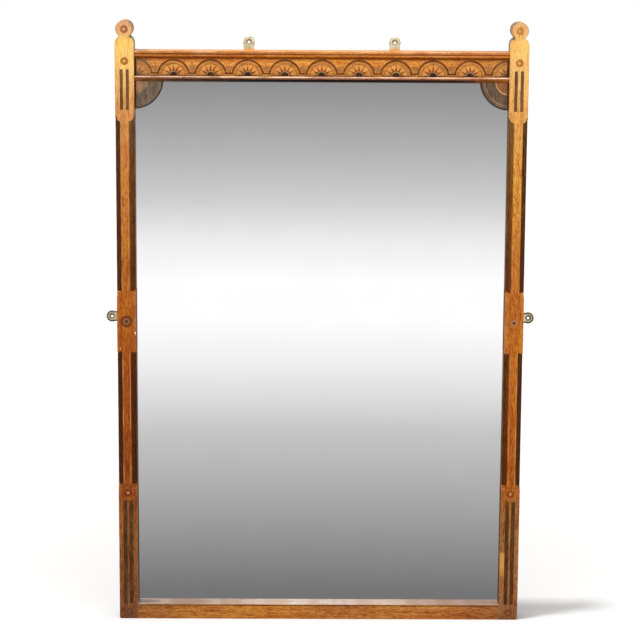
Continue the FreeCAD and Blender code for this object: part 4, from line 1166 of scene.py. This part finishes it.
def plate_mesh(tarnish):
    """A plate with its eye at the origin and its base on the side of -z.

    The eye and neck are a star shape: at each angle the edge is as far out as the
    circle, or on the neck's side as the rectangle, whichever is further. Tarnish is
    how dark and dull each ring of it is, from the back of the bore, round the front, to the
    back of the edge: real tarnish, and painted shade on the bore and the rounded rim.
    """
    turn = np.linspace(0, 2 * math.pi, 97)
    c, s = np.cos(turn), np.sin(turn)
    wide = neck_half_width / np.maximum(np.abs(c), 1e-6)
    long = neck_reach / np.maximum(np.abs(s), 1e-6)
    reach = np.where(s < 0, np.maximum(np.minimum(wide, long), eye_radius), eye_radius)
    none = 0 * reach
    radii = [none + inner for inner in (eye_bore, eye_bore, eye_sink, eye_sink + 0.7)]
    radii += [reach - inset for inset in (3.0, 2.2, 1.4, 0.8, 0.3, 0.05, 0, 0)]
    levels = [0, sink_depth - plate_thickness, -plate_thickness, -plate_thickness]
    levels += [fall - plate_thickness for fall in (0, 0.07, 0.24, 0.5, 0.95, 1.5, 2.1)] + [0]
    loop = np.stack([np.stack([r * c, none + y, r * s], axis=-1) for r, y in zip(radii, levels)], axis=1)
    rows = []
    for fall, inset in ((plate_thickness, 0), (0.9, 0), (0.2, 0.3), (0, 0.9)):
        outline = rounded(base_width - 2 * inset, base_depth - 2 * inset, base_round - inset)
        level = 0 * outline[:, 0] + fall - plate_thickness
        rows.append(np.stack([outline[:, 0], level, outline[:, 1] - base_middle], axis=-1))
    plate = joined(carried(loop[None]), carried(np.array(rows)[None], ends=True))
    dulled = [np.tile(tarnish, len(loop)), np.repeat([1, 1, 1, 0], len(outline))]
    return (*plate, np.concatenate(dulled))


brass_tones = [(0.0, "#D4C498"), (0.45, "#EEE0B6"), (1.0, "#FFF6D8")]
brass = worn_metal("aged_brass", brass_tones, 0.1, 0.22, tarnish="#5E5238")
# The bore and the rounded rim are darkened partly as tarnish and partly as painted shade.
points, faces, tarnished = plate_mesh([0.8, 0.6, 0.3, 0, 0, 0, 0.05, 0.1, 0.2, 0.4, 0.8, 1])
for side, sign in (("left", -1), ("right", 1)):
    place = [sign * top_eyes[0], 0, top_eyes[1]]
    make_piece("top_brass_" + side, (points + place, faces), brass, "brass", "top_plate_" + side,
               tarnished=tarnished)
points, faces, tarnished = plate_mesh([1, 0.8, 0.5, 0, 0.55, 0.8, 0.9, 0.95, 1, 1, 1, 1])
for side, sign in (("left", -1), ("right", 1)):
    place = [sign * side_eyes[0], 0, side_eyes[1]]
    sideways = np.stack([sign * points[:, 2], points[:, 1], points[:, 0]], axis=1)
    make_piece("side_brass_" + side, (sideways + place, faces), brass, "brass", "side_plate_" + side,
               tarnished=tarnished)
screws = [(0.0, "#6E5A30"), (1.0, "#B8A46C")]
bare("plate_screws", worn_metal("brass_screw", screws, 0.3, 0.5, grain=3))


# Floor, light and camera. The mirror stands on a plain pale floor, lit from high on
# the left and by an even studio, and seen from in front and a little above.

studio = bpy.data.worlds.new("studio")
studio.use_nodes = True
bpy.context.scene.world = studio
tree = studio.node_tree
tree.nodes.clear()
path = add_node(tree, "LightPath", out=None).outputs
way = add_node(tree, "TexCoord", out="Generated")
across, ahead, up = add_node(tree, "SeparateXYZ", {0: way}, out=None).outputs
level = add_node(tree, "MapRange", {0: ahead, 1: -1.0, 2: 1.0, 3: 1.27, 4: 0.3})
around = add_node(tree, "Background", {"Color": "#FFFFFF", "Strength": level})
tones = [
    (0.0, "#6B6B6B"), (0.1, "#757575"), (0.16, "#8D8D8D"), (0.252, "#ACACAC"),
    (0.345, "#C6C6C6"), (0.392, "#DBDBDB"), (0.455, "#F1F1F1"), (0.517, "#FEFEFE"),
    (0.58, "#FFFFFF"), (0.6435, "#EDEDED"), (0.7065, "#CFCFCF"), (0.77, "#B8B8B8"),
    (0.833, "#A4A4A4"), (0.895, "#8E8E8E"), (0.94, "#F4F4F4"),
]
seen = add_node(tree, "MapRange", {0: up, 1: -0.32, 2: -0.06})
seen = add_node(tree, "ValToRGB", {0: seen}, tones)
tones = [(0.0, "#464646"), (0.35, "#747474"), (0.6, "#A8A8A8"), (0.8, "#D4D4D4"), (1.0, "#E8E8E8")]
flank = add_node(tree, "MapRange", {0: up, 1: -0.6, 2: 0.1})
flank = add_node(tree, "ValToRGB", {0: flank}, tones)
aside = add_node(tree, "Math", {0: across}, operation="ABSOLUTE")
aside = add_node(tree, "MapRange", {0: aside, 1: 0.2, 2: 0.45})
seen = add_node(tree, "Mix", {0: aside, 6: seen, 7: flank}, **cover)
behind = add_node(tree, "MapRange", {0: ahead, 1: 0.3, 2: 0.7})
seen = add_node(tree, "Mix", {0: behind, 6: seen, 7: "#FFFFFF"}, **cover)
mirrored = add_node(tree, "Background", {"Color": seen, "Strength": 1.06})
clear = add_node(tree, "Background", {"Color": "#FFFFFF", "Strength": 1.0})
lit = add_node(tree, "MixShader", {0: path["Is Glossy Ray"], 1: around, 2: mirrored})
seen = add_node(tree, "MixShader", {0: path["Is Camera Ray"], 1: lit, 2: clear})
add_node(tree, "OutputWorld", {0: seen}, out=None)

paint = bpy.data.materials.new("floor_paint")
paint.use_nodes = True
tree = paint.node_tree
tree.nodes.clear()
add_node(tree, "OutputMaterial", {0: add_node(tree, "BsdfDiffuse", {"Color": "#E6E6E6"})}, out=None)
floor_reach = 12000.0
corners = floor_reach * np.array([(-1, -1, 0), (1, -1, 0), (1, 1, 0), (-1, 1, 0)]) + [0, 0, foot]
mesh = bpy.data.meshes.new("floor")
mesh.from_pydata((corners / 1000).tolist(), [], [(0, 1, 2, 3)])
mesh.materials.append(paint)
floor = bpy.data.objects.new("floor", mesh)
bpy.context.scene.collection.objects.link(floor)
floor.visible_glossy = False

lamp = bpy.data.lights.new("key", "SUN")
lamp.energy = 1.8
lamp.angle = math.radians(4)
key = bpy.data.objects.new("key", lamp)
aim = (0.158, 0.07, -0.985)
key.rotation_euler = (math.acos(-aim[2]), 0, math.atan2(-aim[0], aim[1]))
bpy.context.scene.collection.objects.link(key)

lens = bpy.data.cameras.new("lens")
lens.sensor_width = 36.0
lens.lens = 135.17
lens.clip_end = 60
camera = bpy.data.objects.new("camera", lens)
bpy.context.scene.collection.objects.link(camera)
stand = np.array([-36.3, -4865.9, 924.3]) / 1000
yaw, pitch, roll = 0.00735, 0.18646, 0.00609
placed = Matrix.Translation(stand)
for angle, axis in ((-yaw, "Z"), (math.pi / 2 - pitch, "X"), (roll, "Z")):
    placed = placed @ Matrix.Rotation(angle, 4, axis)
camera.matrix_world = placed
bpy.context.scene.camera = camera
bpy.context.scene.view_settings.view_transform = "Standard"
